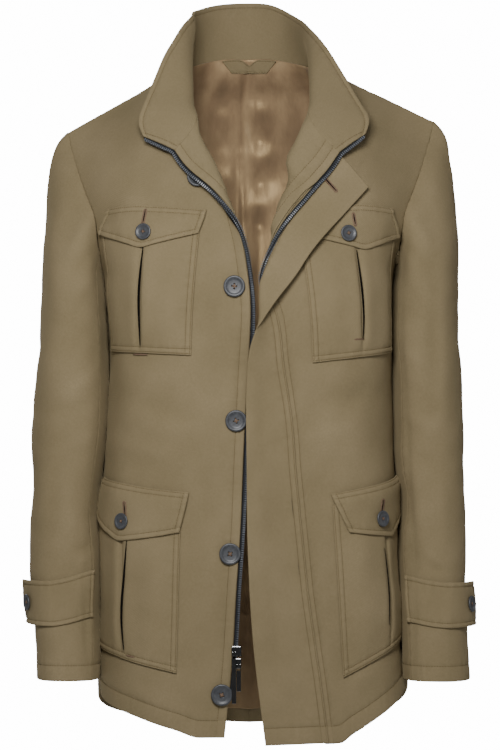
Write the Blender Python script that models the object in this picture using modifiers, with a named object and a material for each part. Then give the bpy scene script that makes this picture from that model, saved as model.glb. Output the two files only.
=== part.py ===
"""Field jacket, filled out as if worn: every cut piece is a thin wall lofted through rows of its own.

Frame: metres, +Z up, front towards -Y, the wearer's left towards +X, origin in the middle of the
neck, level with the back neck seam.
Tables and sizes are in millimetres. A "half" point has x counted outwards from the centre plane, so
that one table serves both sides; side is -1 for the wearer's right and +1 for the wearer's left.
"""

import math
from collections import namedtuple

import bmesh
import bpy
import numpy as np
from mathutils import Vector

for old in list(bpy.data.objects):
    bpy.data.objects.remove(old)

MM = 0.001
RIGHT = -1
LEFT = 1
NAMES = {RIGHT: "right", LEFT: "left"}

# Walls and the gaps between them
SHELL_WALL = 2.0
FACING_WALL = 1.2
COLLAR_WALL = 3.0
LINING_WALL = 1.0
SEAM_GAP = 0.3
LINING_EASE = 2.4

# Zip tape
ZIP_WIDTH = 5.0
ZIP_THICK = 2.2

# How much higher and wider the left shoulder sits than the right one
SHOULDER_LIFT = 13.0
SHOULDER_SPREAD = 4.0

SATIN = "lining satin"
CLOTH = "shell twill"
HORN = "button resin"
METAL = "zip metal"

FINISH = {
    CLOTH: ((0.25, 0.19, 0.11), 0.85, 0.0),
    SATIN: ((0.27, 0.18, 0.10), 0.45, 0.0),
    HORN: ((0.10, 0.10, 0.11), 0.35, 0.0),
    METAL: ((0.06, 0.06, 0.06), 0.30, 0.9),
}


# ---------------------------------------------------------------- tables

# Armhole, half points from the shoulder tip down to the underarm
ARM_FRONT = [
    # x, y, z
    (215, 0, -93),
    (209, -12, -117),
    (201, -29, -143),
    (191, -43, -170),
    (181, -56, -196),
    (176, -50, -231),
    (170, 0, -268),
]
ARM_BACK = [
    # x, y, z
    (215, 0, -93),
    (210, 26, -114),
    (203, 48, -142),
    (195, 62, -173),
    (187, 66, -204),
    (178, 48, -244),
    (170, 0, -268),
]

# Side seam from the underarm down to the hem
SIDE_SEAM = {
    # x, y, z
    RIGHT: [
        (170, 0, -268),
        (168, 1, -300),
        (165.5, 2, -350),
        (167, 3, -410),
        (170.5, 4, -470),
        (174, 5, -535),
        (173.5, 6, -600),
        (176, 7, -660),
        (178.5, 8, -710),
        (177, 8, -751),
    ],
    LEFT: [
        (170, 0, -268),
        (168.5, 1, -299),
        (168, 2, -347),
        (169, 3, -405),
        (170.5, 4, -463),
        (173, 5, -527),
        (173, 6, -590),
        (177, 7, -648),
        (182, 8, -698),
        (187, 8, -738),
    ],
}

# The corner that each row of the upper front and back is pulled towards, and how hard.
# The first row is the shoulder seam, whose corner is the neck point.
CHEST_PULL = [
    # x, y, z, weight
    (77, 8, -13, 60),
    (98, -38, -48, 1.8),
    (118, -74, -88, 1.3),
    (132, -101, -135, 1.3),
    (140, -115, -180, 1.3),
    (152, -123, -222, 1.35),
    (169, -126, -266, 1.4),
]
BACK_PULL = [
    # x, y, z, weight
    (77, 8, -13, 60),
    (95, 84, -36, 1.5),
    (112, 102, -76, 1.3),
    (128, 113, -120, 1.3),
    (145, 118, -165, 1.3),
    (160, 118, -215, 1.3),
    (170, 112, -266, 1.3),
]
BODY_WEIGHT = 1.4
BACK_BULGE = 22.0  # how much wider than the side seam the back's corner is

# Centre back, one row for each row of the panels
CENTRE_BACK = [
    # y, z
    (86, 0),
    (98, -34),
    (109, -72),
    (116, -115),
    (119, -160),
    (118, -212),
    (111, -264),
    (104, -304),
    (96, -358),
    (93, -420),
    (97, -484),
    (107, -556),
    (114, -628),
    (117, -694),
    (115, -752),
    (112, -803),
]

# Front rows: where the roll starts, how far the edge is turned out (1 rolled, 0 flat), and the edge
FRONT_EDGE = {
    # roll x, y, z, turn, edge x, y, z
    RIGHT: [
        (66, -70, -70, 1, 86, -104, -121),
        (64, -91, -96, 1, 73, -112, -139),
        (56, -101, -119, 1, 60, -118, -151.5),
        (46, -110, -147, 0.95, 43, -123, -166),
        (36, -118, -181, 0.75, 26, -128, -187),
        (33, -123, -219, 0.4, 11, -128.5, -218),
        (38, -125, -262, 0.1, 2.3, -127, -261),
        (44, -124, -304, 0, -1.8, -124.5, -304),
        (45, -121, -357, 0, 0.4, -121, -357),
        (45, -118.5, -420, 0, 3.8, -118, -420),
        (45, -118, -484, 0, 6.8, -117.5, -484),
        (45, -119, -557, 0, 9.8, -118.5, -557),
        (48, -121, -628, 0, 14.6, -120.5, -628),
        (50, -122.5, -694, 0, 18.3, -122, -694),
        (54, -123.5, -749, 0, 23, -123, -749),
        (58, -124, -797, 0, 28, -123.5, -797),
    ],
    LEFT: [
        (73, -70, -66, 1, 104.5, -104, -123),
        (69, -92, -93, 1, 90, -112, -144),
        (60, -102, -122, 1, 75, -119, -161),
        (50, -111, -152, 1, 59, -125, -180),
        (43, -119, -183, 0.95, 43.5, -130, -199),
        (37, -125, -225, 0.75, 27, -134, -227),
        (40, -128, -272, 0.35, 16, -134, -271),
        (46, -127, -318, 0, 30, -125.5, -318),
        (51, -123, -366, 0, 35, -118.6, -366),
        (60, -120, -425, 0, 44, -115.6, -425),
        (65, -119, -487, 0, 49, -114.6, -487),
        (72, -119.5, -560, 0, 56, -115.1, -560),
        (79.5, -121, -632, 0, 63.5, -116.6, -632),
        (89, -122, -700, 0, 73, -117.6, -700),
        (97, -123, -756, 0, 81, -118.6, -756),
        (102.5, -123.5, -803, 0, 86.5, -119.1, -804),
    ],
}

# Outer edge of the fly placket, one row for each row of the left front
FLY_EDGE = [
    # x, y, z, bend (how far its cloth turns back on itself), seam (how far in from the zip edge), sit
    (138, -104, -163, 0, 3, 1.0),
    (121, -117, -182, 0, 3, 1.0),
    (106, -127, -199, 0, 3, 1.4),
    (89, -134.5, -218, 0, 3, 2.4),
    (70, -139, -241, 0, 3, 2.4),
    (52, -141, -268, 0.5, 3, 2.0),
    (26, -143, -302, 1, 3, 1.6),
    (5, -137, -338, 0.5, 5, 1.0),
    (-1.4, -130, -372, 0, 6, 0.8),
    (-3.5, -127, -425, 0, 6, 0.8),
    (-2.6, -126, -490, 0, 6, 0.8),
    (-2.2, -126.5, -563, 0, 6, 0.8),
    (0.8, -128, -635, 0, 6, 0.8),
    (6, -129, -702, 0, 6, 0.8),
    (12.5, -129.5, -757, 0, 6, 0.8),
    (19, -130, -806, 0, 6, 0.8),
]

# Upper edge of the collar, from the centre back round to the front corner
COLLAR_TOP = {
    # x, y, z, lean (how far the band leans in towards the neck halfway up)
    RIGHT: [
        (0, 93, 70.5, 0),
        (36, 82, 68, 0),
        (59, 60, 60, 1),
        (68, 30, 54, 3),
        (68, 4, 48, 6),
        (80, -20, 31, 9),
        (89, -34, 14, 11),
        (100, -47, -7, 12),
        (113, -59, -41, 9),
        (124, -73, -70, 5),
        (128, -79, -88, 3),
        (122, -86, -104, 1),
    ],
    LEFT: [
        (0, 93, 70.5, 0),
        (31, 83, 67, 0),
        (49, 66, 55.5, 1),
        (64, 40, 44.5, 3),
        (74, 10, 31, 6),
        (86, -15, 14, 9),
        (98, -32, -6, 11),
        (111, -46, -30, 12),
        (125, -58, -56, 9),
        (137, -72, -78, 5),
        (139, -79, -90, 3),
        (134, -86, -102, 1),
    ],
}

# Sleeve rings below the cap: inner and outer x, front and back y, height
SLEEVE_RINGS = {
    RIGHT: [
        (171, 244, -71, 62, -300),
        (169, 248.5, -72, 56, -350),
        (170.5, 252.5, -73, 52, -400),
        (174, 256, -74, 48, -450),
        (181, 257, -76, 40, -528),
        (184, 256.5, -84, 25, -623),
        (183, 251, -92, 12, -674),
        (182, 248.5, -98, 3, -705),
        (181.5, 247.5, -103, -4, -734),
    ],
    LEFT: [
        (171, 246, -71, 62, -300),
        (171, 249, -72, 56, -350),
        (171.5, 251.5, -73, 52, -400),
        (174.5, 253.5, -74, 48, -450),
        (183.5, 254.5, -76, 40, -528),
        (182, 254.5, -84, 25, -623),
        (181.5, 254.5, -94, 8, -674),
        (182, 256, -102, -4, -705),
        (182.5, 257.5, -108, -13, -734),
    ],
}
SLEEVE_SEAM_FRONT = 140.0
SLEEVE_SEAM_BACK = 300.0

# Patch pockets, from the centre plane along the cloth and on the front edge's own scale of heights
PocketCut = namedtuple("PocketCut", "side middle half top bottom slit lean taper")
POCKETS = {
    "chest_pocket_right": PocketCut(RIGHT, 127, 62, -204, -358, 2.6, 3, 4),
    "chest_pocket_left": PocketCut(LEFT, 131, 60, -207, -368, 2.4, 4, 7),
    "hip_pocket_right": PocketCut(RIGHT, 151, 70, -530, -730, 2.6, 6, 0),
    "hip_pocket_left": PocketCut(LEFT, 171, 68, -534, -735, 0.8, 14, 0),
}
# Their flaps: heights, how far each end runs past the pocket's (at the seam, at the lower edge),
# how much higher the outer end is, and where the button sits (across from the middle, and down)
FlapCut = namedtuple("FlapCut", "top end point inner inner_foot outer outer_foot tilt button")
FLAPS = {
    "chest_pocket_right": FlapCut(-184, -211, -229, 7, -1, -12, 2, 6, (0, 0.64)),
    "chest_pocket_left": FlapCut(-186, -220, -237, -28, -14, -12, 2, 3, (-0.34, 0.72)),
    "hip_pocket_right": FlapCut(-515, -563, -585, 9, -1, -12, 2, 2, (0, 0.65)),
    "hip_pocket_left": FlapCut(-521, -570, -590, 2, -17, -16, -4, 0, (-0.22, 0.65)),
}
POCKET_WALL = 1.8
POCKET_PUFF = 3.0
FLAP_WALL = 2.0

# Buttons: radius and thickness
FRONT_BUTTON = (12.5, 4.0)
POCKET_BUTTON = (9.5, 3.4)
FRONT_BUTTONS = [
    # row of the right front, distance in from the zip edge
    (6.4, 17),
    (9.2, 10.6),
    (11.4, 10.3),
    (13.97, 8.6),
]
HIDDEN_BUTTON = (59, -153, 0)  # distance along the cloth, height, distance off it

# Cuff tabs: turning angle round the sleeve, height of the middle, half height
TAB_START = 137.0
TAB_END = 4.0
TAB_HEIGHT = 27.0
TAB_WALL = 2.0


# ---------------------------------------------------------------- curves


def between(values, position):
    """Catmull-Rom between the rows of a table, at a fractional row position."""
    values = np.asarray(values, float)
    last = len(values) - 1
    low = min(max(int(position), 0), last - 1)
    share = position - low
    before, start, end, after = (values[min(max(low + step, 0), last)] for step in (-1, 0, 1, 2))
    return 0.5 * (
        2 * start
        + (end - before) * share
        + (2 * before - 5 * start + 4 * end - after) * share**2
        + (3 * start - before - 3 * end + after) * share**3
    )


def conic(start, corner, end, weight, share):
    """A conic arc from start to end, pulled towards corner: weight 0.7 is round, more is squarer."""
    share = share[:, None]
    first = (1 - share) ** 2
    middle = 2 * weight * share * (1 - share)
    last = share**2
    return (first * start + middle * corner + last * end) / (first + middle + last)


def bezier(points, share):
    share = share[:, None]
    rest = 1 - share
    start, out, back, end = points
    return rest**3 * start + 3 * rest**2 * share * out + 3 * rest * share**2 * back + share**3 * end


def lengths(points):
    """Distance along a polyline at each of its points, whose first three columns are x, y, z."""
    steps = np.linalg.norm(np.diff(points[:, :3], axis=0), axis=1)
    return np.concatenate([[0.0], np.cumsum(steps)])


def spread(points, shares):
    """The points at these shares of a polyline's length."""
    along = lengths(points)
    places = np.asarray(shares) * along[-1]
    return np.stack([np.interp(places, along, points[:, axis]) for axis in range(points.shape[1])], axis=1)


def even(count):
    return np.linspace(0, 1, count + 1)


def unit(vector):
    return vector / np.linalg.norm(vector, axis=-1, keepdims=True)


def mix(first, second, share):
    return first * (1 - share) + second * share


def ramp(value, low, high):
    """0 below low, 1 above high, and smooth between them."""
    share = np.clip((value - low) / (high - low), 0, 1)
    return share * share * (3 - 2 * share)


def to_world(points, side):
    return np.asarray(points, float) * (side, 1, 1)


# ---------------------------------------------------------------- rows of the body

FINE = 40
SEAM_ROW = 6  # the row at the underarm: armhole above it, side seam below
LAST_ROW = 15
NECK_BOW_FRONT = 3.0
NECK_ROUND = 0.75
ROLL_REACH = 15.0


def raised(point, side):
    """A half point of the upper body, moved for the higher left shoulder."""
    if side == RIGHT:
        return point
    share = np.clip((point[2] + 268) / 175, 0, 1) * np.clip((point[0] - 60) / 155, 0, 1)
    return point + np.array([SHOULDER_SPREAD, 0, SHOULDER_LIFT]) * share


def side_point(side, arm, row):
    """Where a row meets the armhole or, lower down, the side seam."""
    if row < SEAM_ROW:
        return raised(between(arm, row), side)
    return between(SIDE_SEAM[side], row - SEAM_ROW)


def pull(side, values, row, start, end):
    """The corner point and the weight of a row's conic."""
    if row > SEAM_ROW:
        share = min(row - SEAM_ROW, 1)
        low = mix(start[2], end[2], mix(0.4, 0.22, ramp(row, 11, 14)) if end[1] < 0 else 0.85)
        corner = np.array([start[0] + (0 if end[1] < 0 else BACK_BULGE * share), end[1], low])
        return corner, mix(values[SEAM_ROW][3], BODY_WEIGHT, share)
    corner = raised(between([line[:3] for line in values], row), side)
    weight = np.exp(np.interp(row, range(len(values)), [math.log(line[3]) for line in values]))
    return corner, weight


def bowed(points, row):
    """Bends the front neckline's stretch of the top rows outwards a little."""
    share = even(len(points) - 1)
    outwards = NECK_BOW_FRONT * max(0.0, 1 - row / 0.8) * np.sin(math.pi * share)
    return points + np.outer(outwards, (1, 0, 0))


def rounded_neck(points, row):
    """Rounds the back neckline's stretch of the top rows, level where it reaches the centre."""
    start, end = points[0], points[-1]
    corner = np.array([start[0], end[1], mix(start[2], end[2], 0.7)])
    arc = conic(start, corner, end, NECK_ROUND, even(len(points) - 1))
    return mix(points, arc, max(0.0, 1 - row / 2))


def front_row(side, row):
    """A front row in three polylines: side to corner, corner to roll, roll to edge, as half points."""
    roll = between(FRONT_EDGE[side], row)
    start = side_point(side, ARM_FRONT, row)
    fold = roll[:3]
    edge = roll[4:]
    turn = min(max(roll[3], 0), 1)
    corner, weight = pull(side, CHEST_PULL, row, start, fold)
    outer = conic(start, corner, fold, weight, np.linspace(0, 0.5, FINE))
    inner = conic(start, corner, fold, weight, np.linspace(0.5, 1, FINE))
    inner = bowed(inner, row)
    rolled_out = fold + unit(fold - corner) * ROLL_REACH
    out = mix(mix(fold, edge, 1 / 3), rolled_out, turn)
    back = edge - edge_heading(fold, edge, turn) * edge_handle(fold, edge, turn)
    back[2] = mix(back[2], mix(fold[2], edge[2], 0.3), turn)
    lapel = bezier((fold, out, back, edge), even(FINE))
    return outer, inner, lapel


def edge_heading(fold, edge, turn):
    """The way the cloth runs at the zip edge: inwards when flat, forwards halfway, outwards rolled."""
    flat = unit(mix(unit(edge - fold), np.array([-1.0, 0, 0]), min(1, 2 * turn)))
    angle = math.pi * turn
    return unit(flat * math.cos(angle) + np.array([0, -1, 0]) * math.sin(angle))


def edge_handle(fold, edge, turn):
    rolled = max(edge[0] - fold[0] + ROLL_REACH, 5.0)
    return mix(np.linalg.norm(edge - fold) / 3, rolled, turn)


def back_row(side, row):
    """A back row in two polylines: side to corner, corner to centre back, as half points."""
    start = side_point(side, ARM_BACK, row)
    centre = np.array([0, *between(CENTRE_BACK, row)])
    corner, weight = pull(side, BACK_PULL, row, start, centre)
    outer = conic(start, corner, centre, weight, np.linspace(0, 0.5, FINE))
    inner = conic(start, corner, centre, weight, np.linspace(0.5, 1, FINE))
    return outer, rounded_neck(inner, row)


FRONT_ROWS = [0, 0.4, 1, 1.5, 2, 2.5, 3, 3.5, 4, 4.4, 4.8, 5.2, 5.6, 6, 6.4, 6.8, 7.3, 8, 9, 10, 11, 12, 13, 14, 15]
BACK_ROWS = [0, 0.4, 1, 2, 3, 4, 5, 6, 6.4, 6.8, 7.3, 8, 9, 10, 11, 12, 13, 14, 15]
OUTER_SHARES = even(4)
INNER_SHARES = even(5)[1:]
LAPEL_SHARES = np.array([0.12, 0.24, 0.37, 0.52, 0.76, 1])


def front_grid(side, rows):
    """World points of a front panel: a row of points for each row, from the side to the edge."""
    grid = []
    for row in rows:
        outer, inner, lapel = front_row(side, row)
        grid.append(
            np.concatenate(
                [spread(outer, OUTER_SHARES), spread(inner, INNER_SHARES), spread(lapel, LAPEL_SHARES)]
            )
        )
    return to_world(grid, side)


def back_grid(side, rows):
    """World points of a back half, from the side to the centre back."""
    grid = []
    for row in rows:
        outer, inner = back_row(side, row)
        grid.append(np.concatenate([spread(outer, even(4)), spread(inner, even(5)[1:])]))
    return to_world(grid, side)


def trimmed(grid, first_row=0.0, last_row=0.0, first_column=0.0, last_column=0.0):
    """The grid with its borders drawn in along the cloth, by millimetres."""
    grid = np.array(grid)
    for border, nearby, amount in (
        (grid[0], grid[1], first_row),
        (grid[-1], grid[-2], last_row),
        (grid[:, 0], grid[:, 1], first_column),
        (grid[:, -1], grid[:, -2], last_column),
    ):
        border += unit(nearby - border) * np.asarray(amount)[..., None]
    return grid


# ---------------------------------------------------------------- places on the panels


def front_sheet(side):
    """The front's own sheet: fine rows from the roll outwards, their distances and their heights."""
    rows = np.linspace(0, LAST_ROW, 121)
    lines = []
    distances = []
    heights = []
    for row in rows:
        outer, inner, _ = front_row(side, row)
        line = spread(np.concatenate([outer, inner[1:]])[::-1], even(60))
        lines.append(line)
        distances.append(line[0][0] + lengths(line))
        heights.append(line[0][2])
    return np.array(lines), np.array(distances), np.array(heights)


SHEETS = {side: front_sheet(side) for side in (RIGHT, LEFT)}


def on_row(lines, distances, index, distance):
    """A half point on one fine row, running on straight past the row's end."""
    line = lines[index]
    places = distances[index]
    beyond = max(0.0, distance - places[-1])
    point = np.array([np.interp(distance, places, line[:, axis]) for axis in range(3)])
    return point + unit(line[-1] - line[-2]) * beyond


def on_front(side, distance, height):
    """A half point of the front's outer face: distance along the cloth from the centre, row height."""
    lines, distances, heights = SHEETS[side]
    place = np.interp(-height, -heights, np.arange(len(heights)))
    low = min(int(place), len(heights) - 2)
    return mix(
        on_row(lines, distances, low, distance),
        on_row(lines, distances, low + 1, distance),
        place - low,
    )


def front_normal(side, distance, height):
    """The outward direction of the front there, as a half vector."""
    step = 3.0
    across = on_front(side, distance + step, height) - on_front(side, distance - step, height)
    down = on_front(side, distance, height - step) - on_front(side, distance, height + step)
    return unit(np.cross(down, across))


def off_front(side, distance, height, lift):
    """A world point held off the front's outer face."""
    point = on_front(side, distance, height) + front_normal(side, distance, height) * lift
    return to_world(point, side)


# ---------------------------------------------------------------- objects

PART = bpy.data.collections.new("field_jacket")
CUTTERS = bpy.data.collections.new("cutters")


def material(name):
    if name in bpy.data.materials:
        return bpy.data.materials[name]
    colour, roughness, metallic = FINISH[name]
    made = bpy.data.materials.new(name)
    made.use_nodes = True
    shader = made.node_tree.nodes["Principled BSDF"]
    shader.inputs["Base Color"].default_value = (*colour, 1)
    shader.inputs["Roughness"].default_value = roughness
    shader.inputs["Metallic"].default_value = metallic
    return made


def place(name, mesh, finish, collection=None):
    """A named object of this mesh, shaded smooth, in the part's collection."""
    mesh.materials.append(material(finish))
    mesh.shade_smooth()
    made = bpy.data.objects.new(name, mesh)
    (collection or PART).objects.link(made)
    return made


def sheet_mesh(name, grid, outward):
    """A sheet of triangles through a grid of points in millimetres, facing outward."""
    grid = np.asarray(grid)
    rows, columns = grid.shape[:2]
    index = np.arange(rows * columns).reshape(rows, columns)
    a, b = index[:-1, :-1].ravel(), index[:-1, 1:].ravel()
    c, d = index[1:, 1:].ravel(), index[1:, :-1].ravel()
    faces = np.concatenate([np.stack([a, b, c], 1), np.stack([a, c, d], 1)])
    points = grid.reshape(-1, 3)
    corners = points[faces]
    facing = np.cross(corners[:, 1] - corners[:, 0], corners[:, 2] - corners[:, 0])
    if (facing @ np.asarray(outward, float)).sum() < 0:
        faces = faces[:, ::-1]
    mesh = bpy.data.meshes.new(name)
    mesh.from_pydata((points * MM).tolist(), [], faces.tolist())
    return mesh


def wall(name, grid, outward, thickness, finish=CLOTH, depth=0.0):
    """A cloth wall whose outer face lies this deep inside the grid's own surface."""
    made = place(name, sheet_mesh(name, grid, outward), finish)
    solidify = made.modifiers.new("wall", "SOLIDIFY")
    solidify.thickness = thickness * MM
    solidify.offset = -1 - 2 * depth / thickness
    return made


# ---------------------------------------------------------------- body panels

SHOULDER_TRIM = (3.0, 2.8, 2.6, 2.2, 2.0)  # from the shoulder tip to the neck point
NECK_TRIM = 0.3
SEAM_TRIM = 0.2
EDGE_TRIM = 0.5
TIP_TRIM = 0.9
FACING_COLUMNS = 9  # counted from the edge inwards


def top_trims(count):
    """How far to draw in a top row: more along the shoulder ridge than along the neckline."""
    amounts = np.full(count, NECK_TRIM)
    amounts[: len(SHOULDER_TRIM)] = SHOULDER_TRIM
    return amounts


def side_trims(rows):
    return np.where(np.array(rows) < 1, TIP_TRIM, SEAM_TRIM)


def body_panels():
    for side, name in NAMES.items():
        front = front_grid(side, FRONT_ROWS)
        panel = trimmed(
            front,
            first_row=top_trims(front.shape[1]),
            first_column=side_trims(FRONT_ROWS),
            last_column=EDGE_TRIM,
        )
        wall("front_" + name, panel, (0, -1, 0), SHELL_WALL)
        facing = trimmed(
            front[:, -FACING_COLUMNS:], first_row=NECK_TRIM, last_row=2.0, last_column=EDGE_TRIM
        )
        depth = SHELL_WALL + SEAM_GAP
        wall("facing_" + name, facing, (0, -1, 0), FACING_WALL, depth=depth)
        back = back_grid(side, BACK_ROWS)
        centre = np.interp(BACK_ROWS, (0, 1, 4), (1.2, 0.6, SEAM_TRIM))
        panel = trimmed(
            back,
            first_row=top_trims(back.shape[1]),
            first_column=side_trims(BACK_ROWS),
            last_column=centre,
        )
        wall("back_" + name, panel[:, ::-side], (0, 1, 0), SHELL_WALL)


# ---------------------------------------------------------------- collar, lining, hanger loop

COLLAR_RISE = (0, 0.2, 0.45, 0.72, 1)
COLLAR_LEAN = np.array([-0.92, -0.38, 0])
PLEAT_HALF = 6.0
PLEAT_DEPTH = 3.0
LINING_LAST_ROW = 14.6


def collar_half(side):
    """World points of half the collar, from centre back to the zip, one row for each height."""
    _, back = back_row(side, 0)
    _, front, lapel = front_row(side, 0)
    stretches = (
        spread(back[::-1], even(5)),
        spread(front, even(6)[1:]),
        spread(lapel, even(4)[1:]),
    )
    seam = np.concatenate(stretches)
    shares = lengths(seam) / lengths(seam)[-1]
    table = COLLAR_TOP[side]
    edge = np.array([between(table, row) for row in np.linspace(0, len(table) - 1, 90)])
    top = spread(edge, shares)
    rows = [
        mix(seam, top[:, :3], rise) + COLLAR_LEAN * top[:, 3:] * 4 * rise * (1 - rise)
        for rise in COLLAR_RISE
    ]
    return to_world(rows, side)


def collar_grid():
    right = collar_half(RIGHT)
    left = collar_half(LEFT)
    return np.concatenate([right[:, :0:-1], left], axis=1)


def collar():
    grid = trimmed(collar_grid(), first_row=0.35)
    wall("collar", grid, (0, 1, 0), COLLAR_WALL)


def back_lining():
    rows = BACK_ROWS[:-1] + [LINING_LAST_ROW]
    left = back_grid(LEFT, rows)
    right = back_grid(RIGHT, rows)
    centre = left[:, -1:]
    beside_left = centre + unit(left[:, -2:-1] - centre) * PLEAT_HALF
    beside_right = centre + unit(right[:, -2:-1] - centre) * PLEAT_HALF
    depths = PLEAT_DEPTH * ramp(np.array(rows), 0.4, 2)
    fold = centre - np.multiply.outer(depths, (0, 1, 0))[:, None]
    grid = np.concatenate(
        [left[:, :-1], beside_left, fold, beside_right, right[:, -2::-1]], axis=1
    )[:, ::-1]
    reach = np.minimum(np.arange(grid.shape[1]), np.arange(grid.shape[1])[::-1])
    tops = np.interp(reach, (0, 4, 6), (9, 7, 0.6))
    grid = trimmed(grid, first_row=tops, first_column=3.0, last_column=3.0)
    wall("back_lining", grid, (0, 1, 0), LINING_WALL, SATIN, depth=SHELL_WALL + LINING_EASE)


LOOP_HALF_TOP = 36.0
LOOP_HALF_FOOT = 23.0
LOOP_TOP = -3.0
LOOP_FOOT = -12.5
LOOP_WALL = 1.4
LOOP_INSET = 7.6


def off_neck(across, height, inset):
    """A world point this far inside the back's outer face, near the neck."""
    rows = [back_row(LEFT, row)[1][::-1] for row in np.linspace(0, 1, 11)]

    def at(sideways, level):
        lines = [[np.interp(abs(sideways), row[:, 0], row[:, axis]) for axis in (1, 2)] for row in rows]
        depths, levels = np.array(lines).T
        return np.array([sideways, np.interp(-level, -levels, depths), level])

    step = 2.0
    right = at(across + step, height) - at(across - step, height)
    down = at(across, height - step) - at(across, height + step)
    return at(across, height) - unit(np.cross(right, down)) * inset


def hanger_loop():
    """A strip of shell cloth across the back neck, its ends slanted, on the lining."""
    grid = []
    for height, half in ((LOOP_TOP, LOOP_HALF_TOP), (LOOP_FOOT, LOOP_HALF_FOOT)):
        grid.append([off_neck(across, height, LOOP_INSET) for across in np.linspace(-half, half, 9)])
    wall("hanger_loop", grid, (0, 1, 0), LOOP_WALL)


# ---------------------------------------------------------------- sleeves

CAP_SHARES = (0, 0.14, 0.32, 0.55, 0.78)
RING_POWER = 0.87
SLEEVE_WALL = 1.8
SLEEVE_TRIM = 1.0
ARMHOLE_GAP = 0.3
TIP_GAP = 0.9


def ring_point(side, ring, angle):
    """A half point of a sleeve ring: 0 degrees outside, 90 in front, 180 against the body."""
    inner, outer, front, back, height = between(SLEEVE_RINGS[side], ring)
    turn = math.radians(angle)
    cosine = math.copysign(abs(math.cos(turn)) ** RING_POWER, math.cos(turn))
    sine = math.copysign(abs(math.sin(turn)) ** RING_POWER, math.sin(turn))
    return np.array(
        [
            (inner + outer + (outer - inner) * cosine) / 2,
            (front + back - (back - front) * sine) / 2,
            height,
        ]
    )


def armhole(side):
    """Angles and half points round the armhole, from the tip by the front, underarm and back."""
    angles = []
    points = []
    for arm, rows, first in ((ARM_FRONT, FRONT_ROWS, 0), (ARM_BACK, BACK_ROWS, 180)):
        upper = [row for row in rows if row <= SEAM_ROW]
        line = np.array([side_point(side, arm, row) for row in upper])
        shares = lengths(line) / lengths(line)[-1]
        if first:
            line = line[::-1]
            shares = 1 - shares[::-1]
        angles.extend(first + 180 * shares[:-1])
        points.extend(line[:-1])
    return np.array(angles), np.array(points)


def cap_column(side, angle, start):
    """Half points down the sleeve cap from an armhole point to the first ring."""
    turn = math.radians(angle)
    cosine = math.cos(turn)
    heading = unit(np.array([0.55 + 0.4 * cosine, -0.55 * math.sin(turn), 0.15 * cosine - 0.65]))
    reach = 22 + 10 * cosine + 13 * math.sin(turn) ** 2
    end = ring_point(side, 0, angle)
    drop = (start[2] - end[2]) * 0.45
    start = start + heading * (TIP_GAP if cosine > 0.85 else ARMHOLE_GAP)
    handles = (start, start + heading * reach, end + (0, 0, drop), end)
    return bezier(handles, np.array(CAP_SHARES))


def sleeve_grid(side):
    """Angles and world points of a whole sleeve, a column for each angle."""
    angles, points = armhole(side)
    rings = range(len(SLEEVE_RINGS[side]))
    columns = [
        np.concatenate(
            [cap_column(side, angle, start), [ring_point(side, ring, angle) for ring in rings]]
        )
        for angle, start in zip(angles, points)
    ]
    return angles, to_world(np.stack(columns, axis=1), side)


def sleeves():
    for side, name in NAMES.items():
        angles, grid = sleeve_grid(side)
        count = len(angles)
        front_seam = int(np.argmin(abs(angles - SLEEVE_SEAM_FRONT)))
        back_seam = int(np.argmin(abs(angles - SLEEVE_SEAM_BACK)))
        top = [column % count for column in range(back_seam - count, front_seam + 1)]
        under = range(front_seam, back_seam + 1)
        for part, columns, outward in (
            ("top_sleeve_", top, (side, 0, 0)),
            ("under_sleeve_", list(under), (-side, 0.6, 0)),
        ):
            piece = trimmed(grid[:, columns], first_column=SLEEVE_TRIM, last_column=SLEEVE_TRIM)
            wall(part + name, piece, outward, SLEEVE_WALL)


def off_sleeve(side, angle, height, lift):
    """A world point held off the sleeve's outer face."""
    heights = [ring[4] for ring in SLEEVE_RINGS[side]]
    ring = np.interp(-height, [-value for value in heights], range(len(heights)))
    low = min(int(ring), len(heights) - 2)

    def at(turn):
        return mix(ring_point(side, low, turn), ring_point(side, low + 1, turn), ring - low)

    across = at(angle + 3) - at(angle - 3)
    normal = unit(np.array([-across[1], across[0], 0]))
    normal *= 1 if normal @ (at(angle) - at(angle + 180)) > 0 else -1
    return to_world(at(angle) + normal * lift, side)


TAB_SIT = 0.6
TAB_STANDOFF = 7.0
TAB_POINT = 9.0


def tab_point(side, share, across, lift=0.0):
    """A world point of a cuff tab: share along it, across from -1 at its lower edge to 1."""
    angle = mix(TAB_START, TAB_END, share)
    middle = mix(TAB_TOPS[side][0], TAB_TOPS[side][1], ramp(share, 0, 0.5))
    half = TAB_HEIGHT * mix(1, 0.94, share)
    stand = TAB_SIT + TAB_WALL + TAB_STANDOFF * share**4 + lift
    return off_sleeve(side, angle, middle + half * across, stand)


TAB_TOPS = {RIGHT: (-634, -645), LEFT: (-640, -647)}
TAB_SHARES = (0, 0.1, 0.22, 0.34, 0.46, 0.58, 0.7, 0.8, 0.9, 1)


def cuff_tabs():
    for side, name in NAMES.items():
        rows = []
        for across in (1, 0, -1):
            row = [tab_point(side, share, across) for share in TAB_SHARES]
            if across == 0:
                row[-1] = row[-1] + unit(row[-1] - row[-2]) * TAB_POINT
            rows.append(row)
        wall("cuff_tab_" + name, rows, (side, -1, 0), TAB_WALL)


# ---------------------------------------------------------------- fly placket and zip

FLY_WALL = 2.0
FLY_TURN = 16.0
EDGE_STEP = 2.0
TAPE_DEPTH = 0.4


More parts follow.
